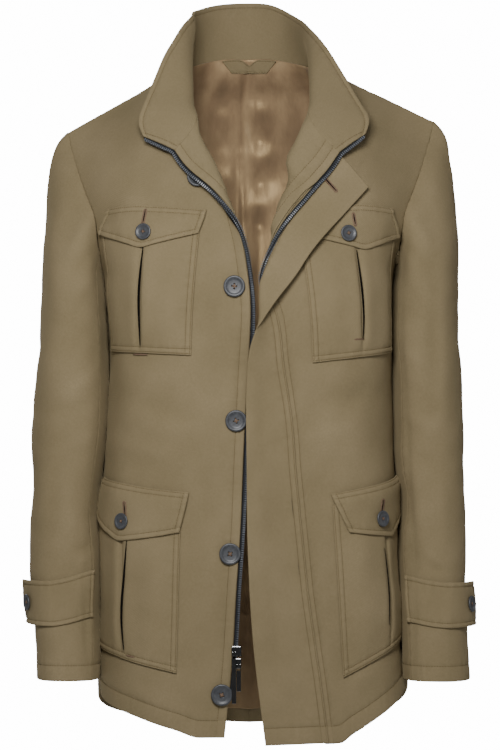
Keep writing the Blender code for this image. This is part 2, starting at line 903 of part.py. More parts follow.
def inset_frames(side, rows, insets):
    """World points this far in from the front's edge, one a row, with the way to the edge and outward."""
    points = []
    headings = []
    for row, inset in zip(rows, insets):
        _, inner, lapel = front_row(side, row)
        line = np.concatenate([inner, lapel[1:]])
        along = lengths(line)
        places = np.array([0, EDGE_STEP]) + along[-1] - max(inset, EDGE_STEP)
        pair = np.stack([np.interp(places, along, line[:, axis]) for axis in range(3)], axis=1)
        heading = unit(pair[1] - pair[0])
        points.append(pair[0] + heading * (max(inset, EDGE_STEP) - inset))
        headings.append(heading)
    points = to_world(points, side)
    headings = to_world(headings, side)
    down = np.gradient(points, axis=0)
    outward = unit(np.cross(headings, down)) * side
    return points, headings, outward


def fly_placket():
    """The storm flap: sewn behind the zip edge, it turns back with the lapel and hangs free below."""
    edges = [between(FLY_EDGE, row) for row in FRONT_ROWS]
    points, headings, outward = inset_frames(LEFT, FRONT_ROWS, [edge[4] for edge in edges])
    starts = points + outward * [[edge[5] + FLY_WALL] for edge in edges]
    rows = []
    for edge, start, heading in zip(edges, starts, headings):
        bend = min(max(edge[3], 0), 1)
        end = edge[:3]
        reach = mix(np.linalg.norm(end - start) / 3, FLY_TURN, bend)
        out = start + heading * reach
        turned_back = np.array([out[0] - 1, end[1] - 2, mix(out[2], end[2], 0.5)])
        back = mix(mix(start, end, 2 / 3), turned_back, bend)
        rows.append(spread(bezier((start, out, back, end), even(FINE)), even(7)))
    wall("fly_placket", trimmed(rows, last_row=0.5), (0, -1, 0), FLY_WALL)


def tape_path(side):
    """Points, ways out and facings along a zip tape: down the collar's end, then down the front."""
    collar_end = collar_half(side)[:0:-1]
    band = collar_end[:, -1]
    band_out = unit(band - collar_end[:, -2])
    band_face = unit(np.cross(band_out, np.gradient(band, axis=0))) * side
    points, headings, outward = inset_frames(side, FRONT_ROWS, np.zeros(len(FRONT_ROWS)))
    return (
        np.concatenate([band, points]),
        np.concatenate([band_out, headings]),
        np.concatenate([band_face, outward]),
    )


def zip_tapes():
    for side, name in NAMES.items():
        points, outs, faces = tape_path(side)
        inner = points + outs * SEAM_GAP - faces * TAPE_DEPTH
        outer = points + outs * (SEAM_GAP + ZIP_WIDTH) - faces * TAPE_DEPTH
        grid = trimmed(np.stack([inner, outer], axis=1), last_row=4.0)
        wall("zip_tape_" + name, grid, (0, -1, 0), ZIP_THICK, METAL)


# ---------------------------------------------------------------- pockets

POCKET_SIT = 1.1
POCKET_ROWS = (0, 0.14, 0.3, 0.5, 0.7, 0.87, 1)
GROOVE_LIP = 1.8
FLAP_COLUMNS = even(8) * 2 - 1
FLAP_ROWS = (0, 0.2, 0.4, 0.7, 1)
FLAP_EASE = 1.3


def pocket_lift(half, offset, share):
    """How far the pocket's outer face stands off the front, without its pleat."""
    puff = POCKET_PUFF * (0.35 + 0.65 * ramp(share, 0.1, 0.4)) * ramp(1 - share, 0, 0.2)
    return POCKET_SIT + POCKET_WALL + puff * ramp(half - abs(offset), 0, 24)


def pocket_span(pocket, share):
    """The pocket's middle along the cloth, and its half width, at this share of its height."""
    wider = pocket.taper * (1 - share) ** 2
    return pocket.middle + pocket.lean * (share - 0.5) - wider, pocket.half + wider


def patch_pocket(name, pocket):
    rows = []
    for share in POCKET_ROWS:
        middle, half = pocket_span(pocket, share)
        height = mix(pocket.top, pocket.bottom, share)
        gape = 0.3 + pocket.slit / 2 * math.sqrt(math.sin(math.pi * min(max(share, 0.03), 0.97)))
        places = [-half, -half + 6, -0.62 * half, -0.3 * half, -gape - GROOVE_LIP, -gape]
        row = []
        for offset in places + [-value for value in reversed(places)]:
            lift = pocket_lift(half, offset, share)
            if abs(offset) <= gape:
                lift = POCKET_SIT + POCKET_WALL
            row.append(off_front(pocket.side, middle + offset, height, lift))
        rows.append(row)
    wall(name, rows, (0, -1, 0), POCKET_WALL)


def flap_point(pocket, flap, across, share):
    """A world point of a flap: across from -1 at its inner end to 1, share down to its lower edge."""
    lower = mix(flap.point, flap.end, abs(across) ** 1.1)
    height = mix(flap.top, lower, share) + flap.tilt * across
    down = min(max((pocket.top - height) / (pocket.top - pocket.bottom), 0), 1)
    middle, half = pocket_span(pocket, down)
    inner = -half - mix(flap.inner, flap.inner_foot, share)
    outer = half + mix(flap.outer, flap.outer_foot, share)
    offset = mix(inner, outer, (across + 1) / 2)
    riding = pocket_lift(half, offset, down) - POCKET_SIT + FLAP_EASE
    riding *= ramp(flap.top - height, 0, flap.top - pocket.top)
    return off_front(pocket.side, middle + offset, height, POCKET_SIT + FLAP_WALL + riding)


def pockets():
    for name, pocket in POCKETS.items():
        patch_pocket(name, pocket)
        flap = FLAPS[name]
        rows = [
            [flap_point(pocket, flap, across, share) for across in FLAP_COLUMNS] for share in FLAP_ROWS
        ]
        wall(name.replace("pocket", "flap"), rows, (0, -1, 0), FLAP_WALL)


# ---------------------------------------------------------------- buttons

BUTTON_SIT = 0.6
BUTTON_STEPS = 14
TAB_BUTTON_SHARE = 0.84
BUTTON_PROFILE = [
    # share of the radius, share of the thickness; from the middle of the face to that of the back
    (0, 0.5),
    (0.6, 0.5),
    (0.78, 1),
    (0.92, 1),
    (1, 0.6),
    (0.9, 0),
    (0, 0),
]


def surface_normal(point_at, across, down, towards, step=0.04):
    """The unit normal of a surface, on the side of this direction."""
    first = point_at(across + step, down) - point_at(across - step, down)
    second = point_at(across, down + step) - point_at(across, down - step)
    normal = unit(np.cross(first, second))
    return normal if normal @ np.asarray(towards, float) > 0 else -normal


def button(name, point, normal, size):
    """A turned button with a raised rim, its flat back held just off this point."""
    radius, thickness = size
    mesh = bpy.data.meshes.new(name)
    points = [(across * radius * MM, 0, up * thickness * MM) for across, up in BUTTON_PROFILE]
    mesh.from_pydata(points, [(index, index + 1) for index in range(len(points) - 1)], [])
    made = place(name, mesh, HORN)
    screw = made.modifiers.new("turned", "SCREW")
    screw.axis = "Z"
    screw.steps = BUTTON_STEPS
    screw.render_steps = BUTTON_STEPS
    screw.use_merge_vertices = True
    screw.merge_threshold = 0.00001
    made.location = (point + normal * BUTTON_SIT) * MM
    made.rotation_euler = Vector(normal).to_track_quat("Z", "Y").to_euler()


def front_buttons():
    """Sewn to the right front beside the zip; the top one hangs behind the turned-out lapel."""
    distance, height, lift = HIDDEN_BUTTON
    point = off_front(RIGHT, distance, height, lift)
    normal = to_world(front_normal(RIGHT, distance, height), RIGHT)
    button("front_button_1", point, normal, FRONT_BUTTON)
    for number, (row, inset) in enumerate(FRONT_BUTTONS, start=2):
        points, _, outward = inset_frames(RIGHT, [row - 0.1, row, row + 0.1], [inset] * 3)
        button(f"front_button_{number}", points[1], outward[1], FRONT_BUTTON)


def pocket_buttons():
    for name, pocket in POCKETS.items():

        def on_flap(across, share, pocket=pocket, flap=FLAPS[name]):
            return flap_point(pocket, flap, across, share)

        spot = FLAPS[name].button
        normal = surface_normal(on_flap, *spot, (0, -1, 0))
        button(name.replace("pocket", "button"), on_flap(*spot), normal, POCKET_BUTTON)


def cuff_buttons():
    for side, name in NAMES.items():

        def on_tab(across, share, side=side):
            return tab_point(side, share, across)

        normal = surface_normal(on_tab, 0, TAB_BUTTON_SHARE, (side, -1, 0))
        button("cuff_button_" + name, on_tab(0, TAB_BUTTON_SHARE), normal, POCKET_BUTTON)


# ---------------------------------------------------------------- sliders and pulls

SLIDER_X = -14.6
SLIDER_FACE = -127.5
SLIDER_WIDTH = 11.5
SLIDER_DEPTH = 5.0
SLIDER_HEIGHT = 12.0
ARCH_WIDTH = 2.6
ARCH_OUT = 4.4
ARCH_HEIGHT = 8.4
TUNNEL_NEAR = 0.3
TUNNEL_FAR = 2.8
TUNNEL_HEIGHT = 5.0
HINGE_OUT = 1.55
HINGE_DROP = 1.4
PULL_WIDTH = 5.0
PULL_THICK = 1.4
PULL_BAR = 0.8  # how far the pull's bar reaches on either side of the hinge axis
PULL_HOLE_WIDTH = 3.6
PULL_HOLE_END = 6.8
ARCH_SHIFT = 2.7

SLIDERS = {
    # height of the slider, arch beside the slider's middle, height of the pull's lower end
    "upper": (-697, -ARCH_SHIFT, -757),
    "lower": (-711, ARCH_SHIFT, -743),
}


def box_mesh(name, low, high):
    """A box between two corners in millimetres."""
    shape = bmesh.new()
    bmesh.ops.create_cube(shape, size=1)
    for vertex in shape.verts:
        vertex.co = [
            mix(near, far, share + 0.5) * MM for near, far, share in zip(low, high, vertex.co)
        ]
    mesh = bpy.data.meshes.new(name)
    shape.to_mesh(mesh)
    shape.free()
    return mesh


def combine(target, name, low, high, operation):
    """Adds a box to the target or cuts it away."""
    tool = bpy.data.objects.new(name, box_mesh(name, low, high))
    CUTTERS.objects.link(tool)
    tool.location = target.location
    tool.hide_render = True
    tool.display_type = "WIRE"
    boolean = target.modifiers.new(name, "BOOLEAN")
    boolean.operation = operation
    boolean.solver = "EXACT"
    boolean.object = tool


def rounded(target, width):
    bevel = target.modifiers.new("rounded", "BEVEL")
    bevel.width = width * MM
    bevel.segments = 2


def slider(name, height, shift):
    """A slider body with an open arch for its pull; its own origin is the middle of its face."""
    half = SLIDER_WIDTH / 2
    tall = SLIDER_HEIGHT / 2
    mesh = box_mesh("slider_" + name, (-half, 0, -tall), (half, SLIDER_DEPTH, tall))
    made = place("slider_" + name, mesh, METAL)
    made.location = (SLIDER_X * MM, SLIDER_FACE * MM, height * MM)
    rounded(made, 1.0)
    left, right = shift - ARCH_WIDTH / 2, shift + ARCH_WIDTH / 2
    reach = ARCH_HEIGHT / 2
    combine(made, name + "_arch", (left, -ARCH_OUT, -reach), (right, 1, reach), "UNION")
    low = (left - 1, -TUNNEL_FAR, -TUNNEL_HEIGHT / 2)
    high = (right + 1, -TUNNEL_NEAR, TUNNEL_HEIGHT / 2)
    combine(made, name + "_tunnel", low, high, "DIFFERENCE")


def pull_tab(name, height, shift, foot):
    """A pull hanging from the arch, its own origin on the hinge axis."""
    hinge = height - HINGE_DROP
    length = hinge - foot
    half = PULL_WIDTH / 2
    thick = PULL_THICK / 2
    mesh = box_mesh("pull_" + name, (-half, -thick, -length), (half, thick, PULL_BAR))
    made = place("pull_" + name, mesh, METAL)
    made.location = ((SLIDER_X + shift) * MM, (SLIDER_FACE - HINGE_OUT) * MM, hinge * MM)
    rounded(made, 0.3)
    across = PULL_HOLE_WIDTH / 2
    combine(made, name + "_eye", (-across, -2, -PULL_HOLE_END), (across, 2, -PULL_BAR), "DIFFERENCE")


def zip_sliders():
    for name, (height, shift, foot) in SLIDERS.items():
        slider(name, height, shift)
        pull_tab(name, height, shift, foot)


# ---------------------------------------------------------------- the whole part


def main():
    bpy.context.scene.collection.children.link(PART)
    bpy.context.scene.collection.children.link(CUTTERS)
    CUTTERS.hide_render = True
    body_panels()
    collar()
    back_lining()
    hanger_loop()
    sleeves()
    cuff_tabs()
    fly_placket()
    zip_tapes()
    pockets()
    front_buttons()
    pocket_buttons()
    cuff_buttons()
    zip_sliders()


main()
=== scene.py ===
"""Field jacket: the visual model on the packed frame."""

import math
from dataclasses import dataclass

import bmesh
import bpy
import numpy as np
from mathutils import Matrix, Vector
from mathutils.bvhtree import BVHTree


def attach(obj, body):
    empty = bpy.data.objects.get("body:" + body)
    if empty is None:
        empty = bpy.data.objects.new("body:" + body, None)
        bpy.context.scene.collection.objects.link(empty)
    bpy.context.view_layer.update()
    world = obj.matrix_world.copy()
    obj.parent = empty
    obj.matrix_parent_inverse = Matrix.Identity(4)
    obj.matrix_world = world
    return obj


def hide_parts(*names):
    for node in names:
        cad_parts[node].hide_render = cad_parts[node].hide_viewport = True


bl_info = {
    "name": "Field jacket",
    "version": (1, 0, 0),
    "blender": (4, 5, 0),
    "location": "3D View > Sidebar > Field jacket",
    "description": "Dresses a field jacket in twill, satin, sewing, buttons and a two-way zip",
    "category": "Object",
}

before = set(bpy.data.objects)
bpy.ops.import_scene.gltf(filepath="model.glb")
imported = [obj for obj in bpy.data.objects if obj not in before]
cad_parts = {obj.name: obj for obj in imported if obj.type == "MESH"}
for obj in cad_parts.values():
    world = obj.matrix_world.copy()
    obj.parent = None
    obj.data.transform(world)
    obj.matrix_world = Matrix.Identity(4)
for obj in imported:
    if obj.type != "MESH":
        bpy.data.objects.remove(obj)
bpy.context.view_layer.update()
MM = 0.001
# The wearer's sides, with the sign of x on each.
SIDES = {"right": -1, "left": 1}
# What is made so far: the materials, each cloth's grid and its finished skin, and the reach of a
# sleeve from its inner to its outer side.
made = {"skins": {}, "grids": {}}


def new_object(name, data):
    obj = bpy.data.objects.new(name, data)
    bpy.context.scene.collection.objects.link(obj)
    return obj


# ---------------------------------------------------------------- nodes and materials


def linear(code):
    """A colour written as sRGB hex, turned to linear."""
    parts = [int(code[i : i + 2], 16) / 255 for i in (1, 3, 5)]
    return [p / 12.92 if p <= 0.04045 else ((p + 0.055) / 1.055) ** 2.4 for p in parts] + [1.0]


def add(tree, kind, inputs=(), **settings):
    """Adds a node with its settings, values and links."""
    node = tree.nodes.new(kind)
    for name, value in settings.items():
        setattr(node, name, value)
    for name, value in dict(inputs).items():
        if isinstance(value, bpy.types.NodeSocket):
            tree.links.new(value, node.inputs[name])
        else:
            node.inputs[name].default_value = value
    return node


def new_material(name):
    material = bpy.data.materials.new(name)
    material.use_nodes = True
    material.node_tree.nodes.clear()
    return material, material.node_tree


def shaded(tree, colour, bump_height, bump_mm, **values):
    """Ends a material in the usual shader, with a bump of this many millimetres."""
    bump = add(
        tree, "ShaderNodeBump", {"Height": bump_height, "Distance": bump_mm * MM, "Strength": 1.0}
    )
    shader = add(
        tree, "ShaderNodeBsdfPrincipled", {"Base Color": colour, "Normal": bump.outputs[0], **values}
    )
    add(tree, "ShaderNodeOutputMaterial", {"Surface": shader.outputs[0]})


def maths(tree, kind, a, b, c=0.0):
    node = add(tree, "ShaderNodeMath", {0: a, 1: b, 2: c}, operation=kind)
    return node.outputs[0]


def ramp(tree, value, stops, tint=(1, 1, 1)):
    """A colour ramp of (place, hex) stops, each multiplied by the tint."""
    node = add(tree, "ShaderNodeValToRGB", {"Fac": value})
    elements = node.color_ramp.elements
    while len(elements) < len(stops):
        elements.new(0.5)
    for element, (place, code) in zip(elements, stops):
        element.position = place
        element.color = [part * share for part, share in zip(linear(code), (*tint, 1))]
    return node.outputs[0]


# A wave texture's bands stand one unit apart at this scale.
BAND_SCALE = 0.314


def twill(name, stops, tint=(1, 1, 1)):
    # Brushed cotton twill: matt, a soft nap that takes the light at grazing angles, slanted ribs
    # 0.8 mm apart in the real cloth, drawn 1.7 mm apart and faint because finer ones don't show,
    # and piece-dyed. An attribute paints light and shade into it: paler on raised folds and rims,
    # darker in troughs and stitch valleys.
    rib_mm = 1.7
    material, tree = new_material(name)
    cloth = add(tree, "ShaderNodeUVMap", uv_map="cloth").outputs[0]
    place = add(tree, "ShaderNodeTexCoord").outputs["Object"]
    slanted = add(
        tree,
        "ShaderNodeMapping",
        {"Vector": cloth, "Rotation": (0, 0, math.radians(58)), "Scale": (1000, 1000, 1000)},
    ).outputs[0]
    ribs = add(
        tree,
        "ShaderNodeTexWave",
        {
            "Vector": slanted,
            "Scale": BAND_SCALE / rib_mm,
            "Distortion": 0.7,
            "Detail": 2,
            "Detail Scale": 0.8,
        },
    ).outputs["Fac"]
    nap = add(
        tree, "ShaderNodeTexNoise", {"Vector": place, "Scale": 420, "Detail": 3, "Roughness": 0.65}
    ).outputs[0]
    dye = add(
        tree, "ShaderNodeTexNoise", {"Vector": place, "Scale": 21, "Detail": 4, "Roughness": 0.6}
    ).outputs[0]
    # Painted light and shade from the relief, added to the tone.
    relief_shading = add(tree, "ShaderNodeAttribute", attribute_name="relief_shading").outputs["Fac"]
    tone = maths(tree, "MULTIPLY_ADD", dye, 0.16, 0.26)
    tone = maths(tree, "MULTIPLY_ADD", nap, 0.24, tone)
    tone = maths(tree, "MULTIPLY_ADD", ribs, 0.08, tone)
    tone = maths(tree, "ADD", tone, relief_shading)
    height = maths(tree, "MULTIPLY_ADD", ribs, 0.45, nap)
    shaded(
        tree,
        ramp(tree, tone, stops, tint),
        height,
        0.16,
        **{
            "Roughness": 0.93,
            "Specular IOR Level": 0.18,
            "Sheen Weight": 0.22,
            "Sheen Roughness": 0.45,
            "Sheen Tint": linear("#c9b78f"),
        },
    )
    return material


def satin(name, stops):
    # Polyester satin lining: long warp floats give it soft, stretched highlights on its folds. Its
    # colour also holds painted light and shade: a fold noise and an attribute run it from shaded
    # tones to pale painted highlights.
    material, tree = new_material(name)
    cloth = add(tree, "ShaderNodeUVMap", uv_map="cloth").outputs[0]
    place = add(tree, "ShaderNodeTexCoord").outputs["Object"]
    drawn = add(tree, "ShaderNodeMapping", {"Vector": cloth, "Scale": (900, 120, 1)}).outputs[0]
    floats = add(
        tree, "ShaderNodeTexNoise", {"Vector": drawn, "Scale": 1.0, "Detail": 2}
    ).outputs[0]
    hanging = add(tree, "ShaderNodeMapping", {"Vector": place, "Scale": (34, 34, 13)}).outputs[0]
    # Painted light and shade: this fold noise runs the colour from shaded to highlit tones.
    folds = add(
        tree, "ShaderNodeTexNoise", {"Vector": hanging, "Scale": 1.0, "Detail": 3, "Roughness": 0.5}
    ).outputs[0]
    # Painted light and shade from the relief, added to the tone.
    relief_shading = add(tree, "ShaderNodeAttribute", attribute_name="relief_shading").outputs["Fac"]
    tone = maths(tree, "MULTIPLY_ADD", folds, 0.7, 0.12)
    tone = maths(tree, "MULTIPLY_ADD", floats, 0.08, tone)
    tone = maths(tree, "ADD", tone, relief_shading)
    shaded(
        tree,
        ramp(tree, tone, stops),
        maths(tree, "MULTIPLY_ADD", floats, 0.05, folds),
        2.2,
        **{
            "Roughness": 0.38,
            "Specular IOR Level": 0.62,
            "Specular Tint": linear("#f0cf98"),
            "Anisotropic": 0.5,
            "Sheen Weight": 0.1,
            "Sheen Roughness": 0.3,
        },
    )
    return material


def plain(name, stops, scale, bump_mm, **values):
    """A material with one fine uneven pattern, its features this many to the metre."""
    material, tree = new_material(name)
    place = add(tree, "ShaderNodeTexCoord").outputs["Object"]
    grain = add(
        tree, "ShaderNodeTexNoise", {"Vector": place, "Scale": scale, "Detail": 3, "Roughness": 0.6}
    ).outputs[0]
    shaded(tree, ramp(tree, grain, stops), grain, bump_mm, **values)
    return material


def make_materials(look):
    made["twill"] = twill(
        "brushed_cotton_twill",
        ((0.0, "#4c4432"), (0.42, "#7a6d51"), (0.58, "#84765a"), (1.0, "#a69777")),
        look.cloth_colour,
    )
    # The satin's stops run from painted shade up to a pale painted highlight.
    made["satin"] = satin(
        "polyester_satin", ((0.12, "#5e4e3d"), (0.4, "#826c53"), (0.58, "#9c8465"), (0.85, "#d6be98"))
    )
    # Cotton sewing thread: twisted, matt, a little browner than the cloth.
    made["thread"] = plain(
        "cotton_thread", ((0.3, "#54462b"), (0.7, "#6b5b3c")), 900, 0.05,
        **{"Roughness": 0.85, "Specular IOR Level": 0.25},
    )
    # Buttonhole twist and button thread: thicker, pinkish tan, slightly glossy.
    made["twist"] = plain(
        "button_thread", ((0.3, "#5d4838"), (0.7, "#7d6450")), 900, 0.06,
        **{"Roughness": 0.7, "Specular IOR Level": 0.35},
    )
    # Polyester resin button: turned and tumbled, satin gloss with faint darker clouds.
    made["resin"] = plain(
        "polyester_resin", ((0.3, "#35363a"), (0.55, "#404246"), (0.8, "#4f5155")), 260, 0.02,
        **{"Roughness": 0.42, "Specular IOR Level": 0.5, "IOR": 1.54},
    )
    # Woven polyester zip tape: dark slate grey with a fine rib.
    made["tape"] = plain(
        "woven_zip_tape", ((0.3, "#141517"), (0.7, "#232529")), 700, 0.12,
        **{"Roughness": 0.8, "Specular IOR Level": 0.3},
    )
    # Moulded acetal zip teeth: small, smooth, catching the light one by one.
    made["acetal"] = plain(
        "acetal_teeth", ((0.3, "#484b51"), (0.7, "#6c7077")), 500, 0.02,
        **{"Roughness": 0.35, "Specular IOR Level": 0.5},
    )
    # Black enamel on die-cast zinc: deep, glossy, rounded.
    made["enamel"] = plain(
        "black_enamel", ((0.3, "#0c0c0c"), (0.7, "#1a1a1a")), 150, 0.02,
        **{"Roughness": 0.18, "Specular IOR Level": 0.8, "Coat Weight": 1.0, "Coat Roughness": 0.05},
    )
    # Painted shade: nearly black and quite matt, standing for the shaded cloth inside a
    # buttonhole or a pleat.
    made["shade"] = plain(
        "painted_shade_black", ((0.3, "#060504"), (0.7, "#0c0a07")), 700, 0.05,
        **{"Roughness": 0.95, "Specular IOR Level": 0.1},
    )


# ---------------------------------------------------------------- the solids' own grids


def corner_walk(mesh, group):
    """A sheet's points in rows and columns, found from its corner triangles, and its facing sign."""
    thirds, count = {}, {}
    for face in group:
        v = [x.index for x in face.verts]
        for i in range(3):
            count[v[i]] = count.get(v[i], 0) + 1
            thirds.setdefault(frozenset((v[i], v[(i + 1) % 3])), []).append(v[(i + 2) % 3])
    beside = {}
    for pair, found in thirds.items():
        if len(found) == 1:
            a, b = pair
            beside.setdefault(a, []).append(b)
            beside.setdefault(b, []).append(a)
    ends = [v for v in beside if count[v] == 1]
    starts = [v for v in beside if count[v] == 2]
    if len(ends) != 2 or len(starts) < 2 or any(len(x) != 2 for x in beside.values()):
        return None

    def height(v):
        return mesh.verts[v].co.z

    def side(a, b):
        path = [a, b]
        while path[-1] not in ends:
            path.append(next(w for w in beside[path[-1]] if w != path[-2]))
        return path

    first, last = max(starts, key=height), min(starts, key=height)
    top, left = sorted((side(first, b) for b in beside[first]), key=lambda p: -height(p[-1]))
    others = [side(last, b)[::-1] for b in beside[last]]
    right = next(p for p in others if p[0] == top[-1])
    bottom = next(p for p in others if p[0] == left[-1])
    at = -np.ones((len(left), len(top)), int)
    if len(right) != len(left) or len(bottom) != len(top):
        return None
    at[0], at[-1], at[:, 0], at[:, -1] = top, bottom, left, right

    def next_line(line, before):
        pairs = (frozenset(p) for p in zip(line, line[1:]))
        return [next((t for t in thirds.get(p, ()) if t not in before), -1) for p in pairs]

    for view in (at, at[::-1, ::-1], at.T, at.T[::-1, ::-1]):  # in from each side in turn
        before = set()
        for near, far in zip(view, view[1:-1]):
            line = next_line(list(near), before)
            if line[-1] != far[-1]:
                break
            far[1:] = line
            before = set(near)
    grid = np.array([[mesh.verts[v].co[:] if v >= 0 else (np.nan,) * 3 for v in row] for row in at])
    corner = next(f for f in group if {x.index for x in f.verts} == {at[0, 0], at[0, 1], at[1, 1]})
    across = np.cross(grid[0, 1] - grid[0, 0], grid[1, 1] - grid[0, 0])
    return grid, 1.0 if np.dot(across, corner.normal) > 0 else -1.0


def fill_gaps(grid):
    """A first straight filling of the rows that the solid holds with fewer points."""
    gappy = []
    for r, row in enumerate(grid):
        gap = np.isnan(row[:, 0])
        for k in range(3) if gap.any() else ():
            row[gap, k] = np.interp(np.flatnonzero(gap), np.flatnonzero(~gap), row[~gap, k])
        if gap.any():
            gappy.append(r)
    return gappy


# The middle of the body's left half, x and y in metres, how far out the rays towards it start,
# and the shares of the turn from edge to edge that they are sent at.
HALF_BODY_MIDDLE, RAY_START = (0.07, 0.0), 0.35
RAY_SHARES = np.linspace(0.012, 0.988, 110)


def round_the_body(mesh, grid, gappy):
    """Lays the gappy rows on the solid again, seen from outside towards the middle of the body."""
    tree = BVHTree.FromBMesh(mesh)
    top, low = min(gappy) - 1, max(gappy) + 1
    x, y = HALF_BODY_MIDDLE
    shares = [chords(grid[r]) / chords(grid[r])[-1] for r in (top, low)]
    spots = np.linspace(0, 1, grid.shape[1])
    for r in gappy:
        drop = [(grid[r, c, 2] - grid[top, c, 2]) / (grid[low, c, 2] - grid[top, c, 2]) for c in (0, -1)]
        blend = drop[0] + (drop[1] - drop[0]) * spots
        heights = grid[top, :, 2] + (grid[low, :, 2] - grid[top, :, 2]) * blend
        angles = [math.atan2(grid[r, c, 1] - y, grid[r, c, 0] - x) for c in (0, -1)]
        line = [grid[r, 0]]
        for share in RAY_SHARES:
            turn = angles[0] + (angles[1] - angles[0]) * share
            way = Vector((math.cos(turn), math.sin(turn), 0))
            start = Vector((x, y, np.interp(share, spots, heights))) + way * RAY_START
            hit = tree.ray_cast(start, -way)[0]
            if hit is not None:
                line.append(np.array(hit))
        line = np.array(line + [grid[r, -1]])
        along = chords(line)
        wanted = (shares[0] * (1 - blend) + shares[1] * blend) * along[-1]
        for k in range(3):
            grid[r, 1:-1, k] = np.interp(wanted[1:-1], along, line[:, k])


# Tries at telling a cloth's two faces from its rims: the least cosine between neighbouring
# triangles of a face, and the shortest edge, in metres, that its triangles may have.
FACE_TRIES = ((0.31, 0), (0.42, 0), (0.52, 0), (0.62, 0), (0.72, 0), (0.2, 0.0034), (0.3, 0.0022))
# A group of no more triangles than this is part of a rim.
RIM_TRIANGLES = 12
# Points of a solid nearer than this, in metres, are one.
SAME_POINT = 2e-6


def smooth_groups(mesh, limit, short):
    """The mesh's triangles in groups that no sharp turn divides, the largest group first."""
    seen = {f.index for f in mesh.faces if min(e.calc_length() for e in f.edges) < short}
    groups = []
    for face in mesh.faces:
        if face.index in seen:
            continue
        seen.add(face.index)
        stack, group = [face], []
        while stack:
            one = stack.pop()
            group.append(one)
            for edge in one.edges:
                for other in edge.link_faces:
                    if other.index not in seen and one.normal.dot(other.normal) > limit:
                        seen.add(other.index)
                        stack.append(other)
        groups.append(group)
    return sorted(groups, key=lambda g: -sum(f.calc_area() for f in g))


def wall_grid(node, shape, towards, wall):
    """The outer face of a cloth wall as a grid of points, with the sign of its normals."""
    mesh = bmesh.new()
    mesh.from_mesh(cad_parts[node].data)
    bmesh.ops.remove_doubles(mesh, verts=mesh.verts, dist=SAME_POINT)
    mesh.normal_update()
    mesh.faces.ensure_lookup_table()
    mesh.verts.ensure_lookup_table()
    towards = Vector(towards)
    for limit, short in FACE_TRIES:
        two = smooth_groups(mesh, limit, short)[:2]
        two.sort(key=lambda g: -sum(f.calc_area() * f.normal.dot(towards) for f in g))
        for inner, group in enumerate(two):
            found = corner_walk(mesh, group) if len(group) > RIM_TRIANGLES else None
            if not found or found[0].shape[:2] != shape:
                continue
            grid, sign = found
            gappy = fill_gaps(grid)
            if inner:  # the outer face lies a wall away
                sign = -sign
                grid = grid + grid_normals(grid, sign) * wall * MM
            if gappy:
                round_the_body(mesh, grid, gappy)
            mesh.free()
            return grid, sign
    raise RuntimeError(f"the cloth of {node} isn't a plain grid")


def grid_normals(points, sign):
    across = np.cross(np.gradient(points, axis=1), np.gradient(points, axis=0))
    return sign * across / np.maximum(np.linalg.norm(across, axis=-1, keepdims=True), 1e-12)


# ---------------------------------------------------------------- finer cloth from a grid


def chords(line):
    """How far along a line each of its points lies."""
    return np.concatenate([[0], np.cumsum(np.linalg.norm(np.diff(line, axis=0), axis=1))])


def smooth_line(values, places, wanted):
    """A natural cubic spline through the values."""
    h = np.diff(places)
    n = len(places)
    a, b = np.eye(n), np.zeros((n, values.shape[1]))
    for i in range(1, n - 1):
        a[i, i - 1 : i + 2] = h[i - 1], 2 * (h[i - 1] + h[i]), h[i]
        b[i] = 6 * ((values[i + 1] - values[i]) / h[i] - (values[i] - values[i - 1]) / h[i - 1])
    m = np.linalg.solve(a, b)
    j = np.clip(np.searchsorted(places, wanted, "right") - 1, 0, n - 2)
    t, w = (wanted - places[j])[:, None], h[j][:, None]
    s = w - t
    return (
        (m[j] * s**3 + m[j + 1] * t**3) / (6 * w)
        + (values[j] / w - m[j] * w / 6) * s
        + (values[j + 1] / w - m[j + 1] * w / 6) * t
    )


def firm_line(values, places, wanted):
    """A curve through the values that never swings past them, for folds and points."""
    h = np.diff(places)[:, None]
    d = np.diff(values, axis=0) / h
    m = np.zeros_like(values)
    same = d[:-1] * d[1:] > 0
    m[1:-1] = np.where(same, 2 * d[:-1] * d[1:] / np.where(same, d[:-1] + d[1:], 1), 0)
    m[0], m[-1] = d[0], d[-1]
    j = np.clip(np.searchsorted(places, wanted, "right") - 1, 0, len(places) - 2)
    t = ((wanted - places[j]) / h[j, 0])[:, None]
    w = h[j]
    return (
        (2 * t**3 - 3 * t**2 + 1) * values[j]
        + (t**3 - 2 * t**2 + t) * w * m[j]
        + (3 * t**2 - 2 * t**3) * values[j + 1]
        + (t**3 - t**2) * w * m[j + 1]
    )


# Where a border's own points lie, in mm from it and from each of its stitch rows, and the least
# distance from one to the next.
EDGE_SPOTS, SEAM_SPOTS = (0.0, 0.35, 0.9, 1.7, 3.2), (0.0, 0.7, 1.5, 3.0)
ROW_SPOTS, LEAST_GAP = (-1.1, -0.45, 0.0, 0.45, 1.1), 0.3


def border_stations(border):
    """Distances from a border, in metres, fine enough for its rim and its stitch rows."""
    spots = set(EDGE_SPOTS if border.kind == "edge" else SEAM_SPOTS)
    for row in border.rows:
        spots |= {row + spot for spot in ROW_SPOTS}
    kept = []
    for spot in sorted(spots):
        if spot in border.rows and kept and spot - kept[-1] < LEAST_GAP:
            kept.pop()
        if not kept or spot - kept[-1] >= LEAST_GAP:
            kept.append(spot)
    return np.array(kept) * MM


def stations(length, count, start, end):
    """Places along a line: those of its two ends, and even ones between them."""
    middle = np.linspace(start[-1], length - end[-1], count + 1)[1:-1]
    return np.concatenate([start, middle, length - end[::-1]])


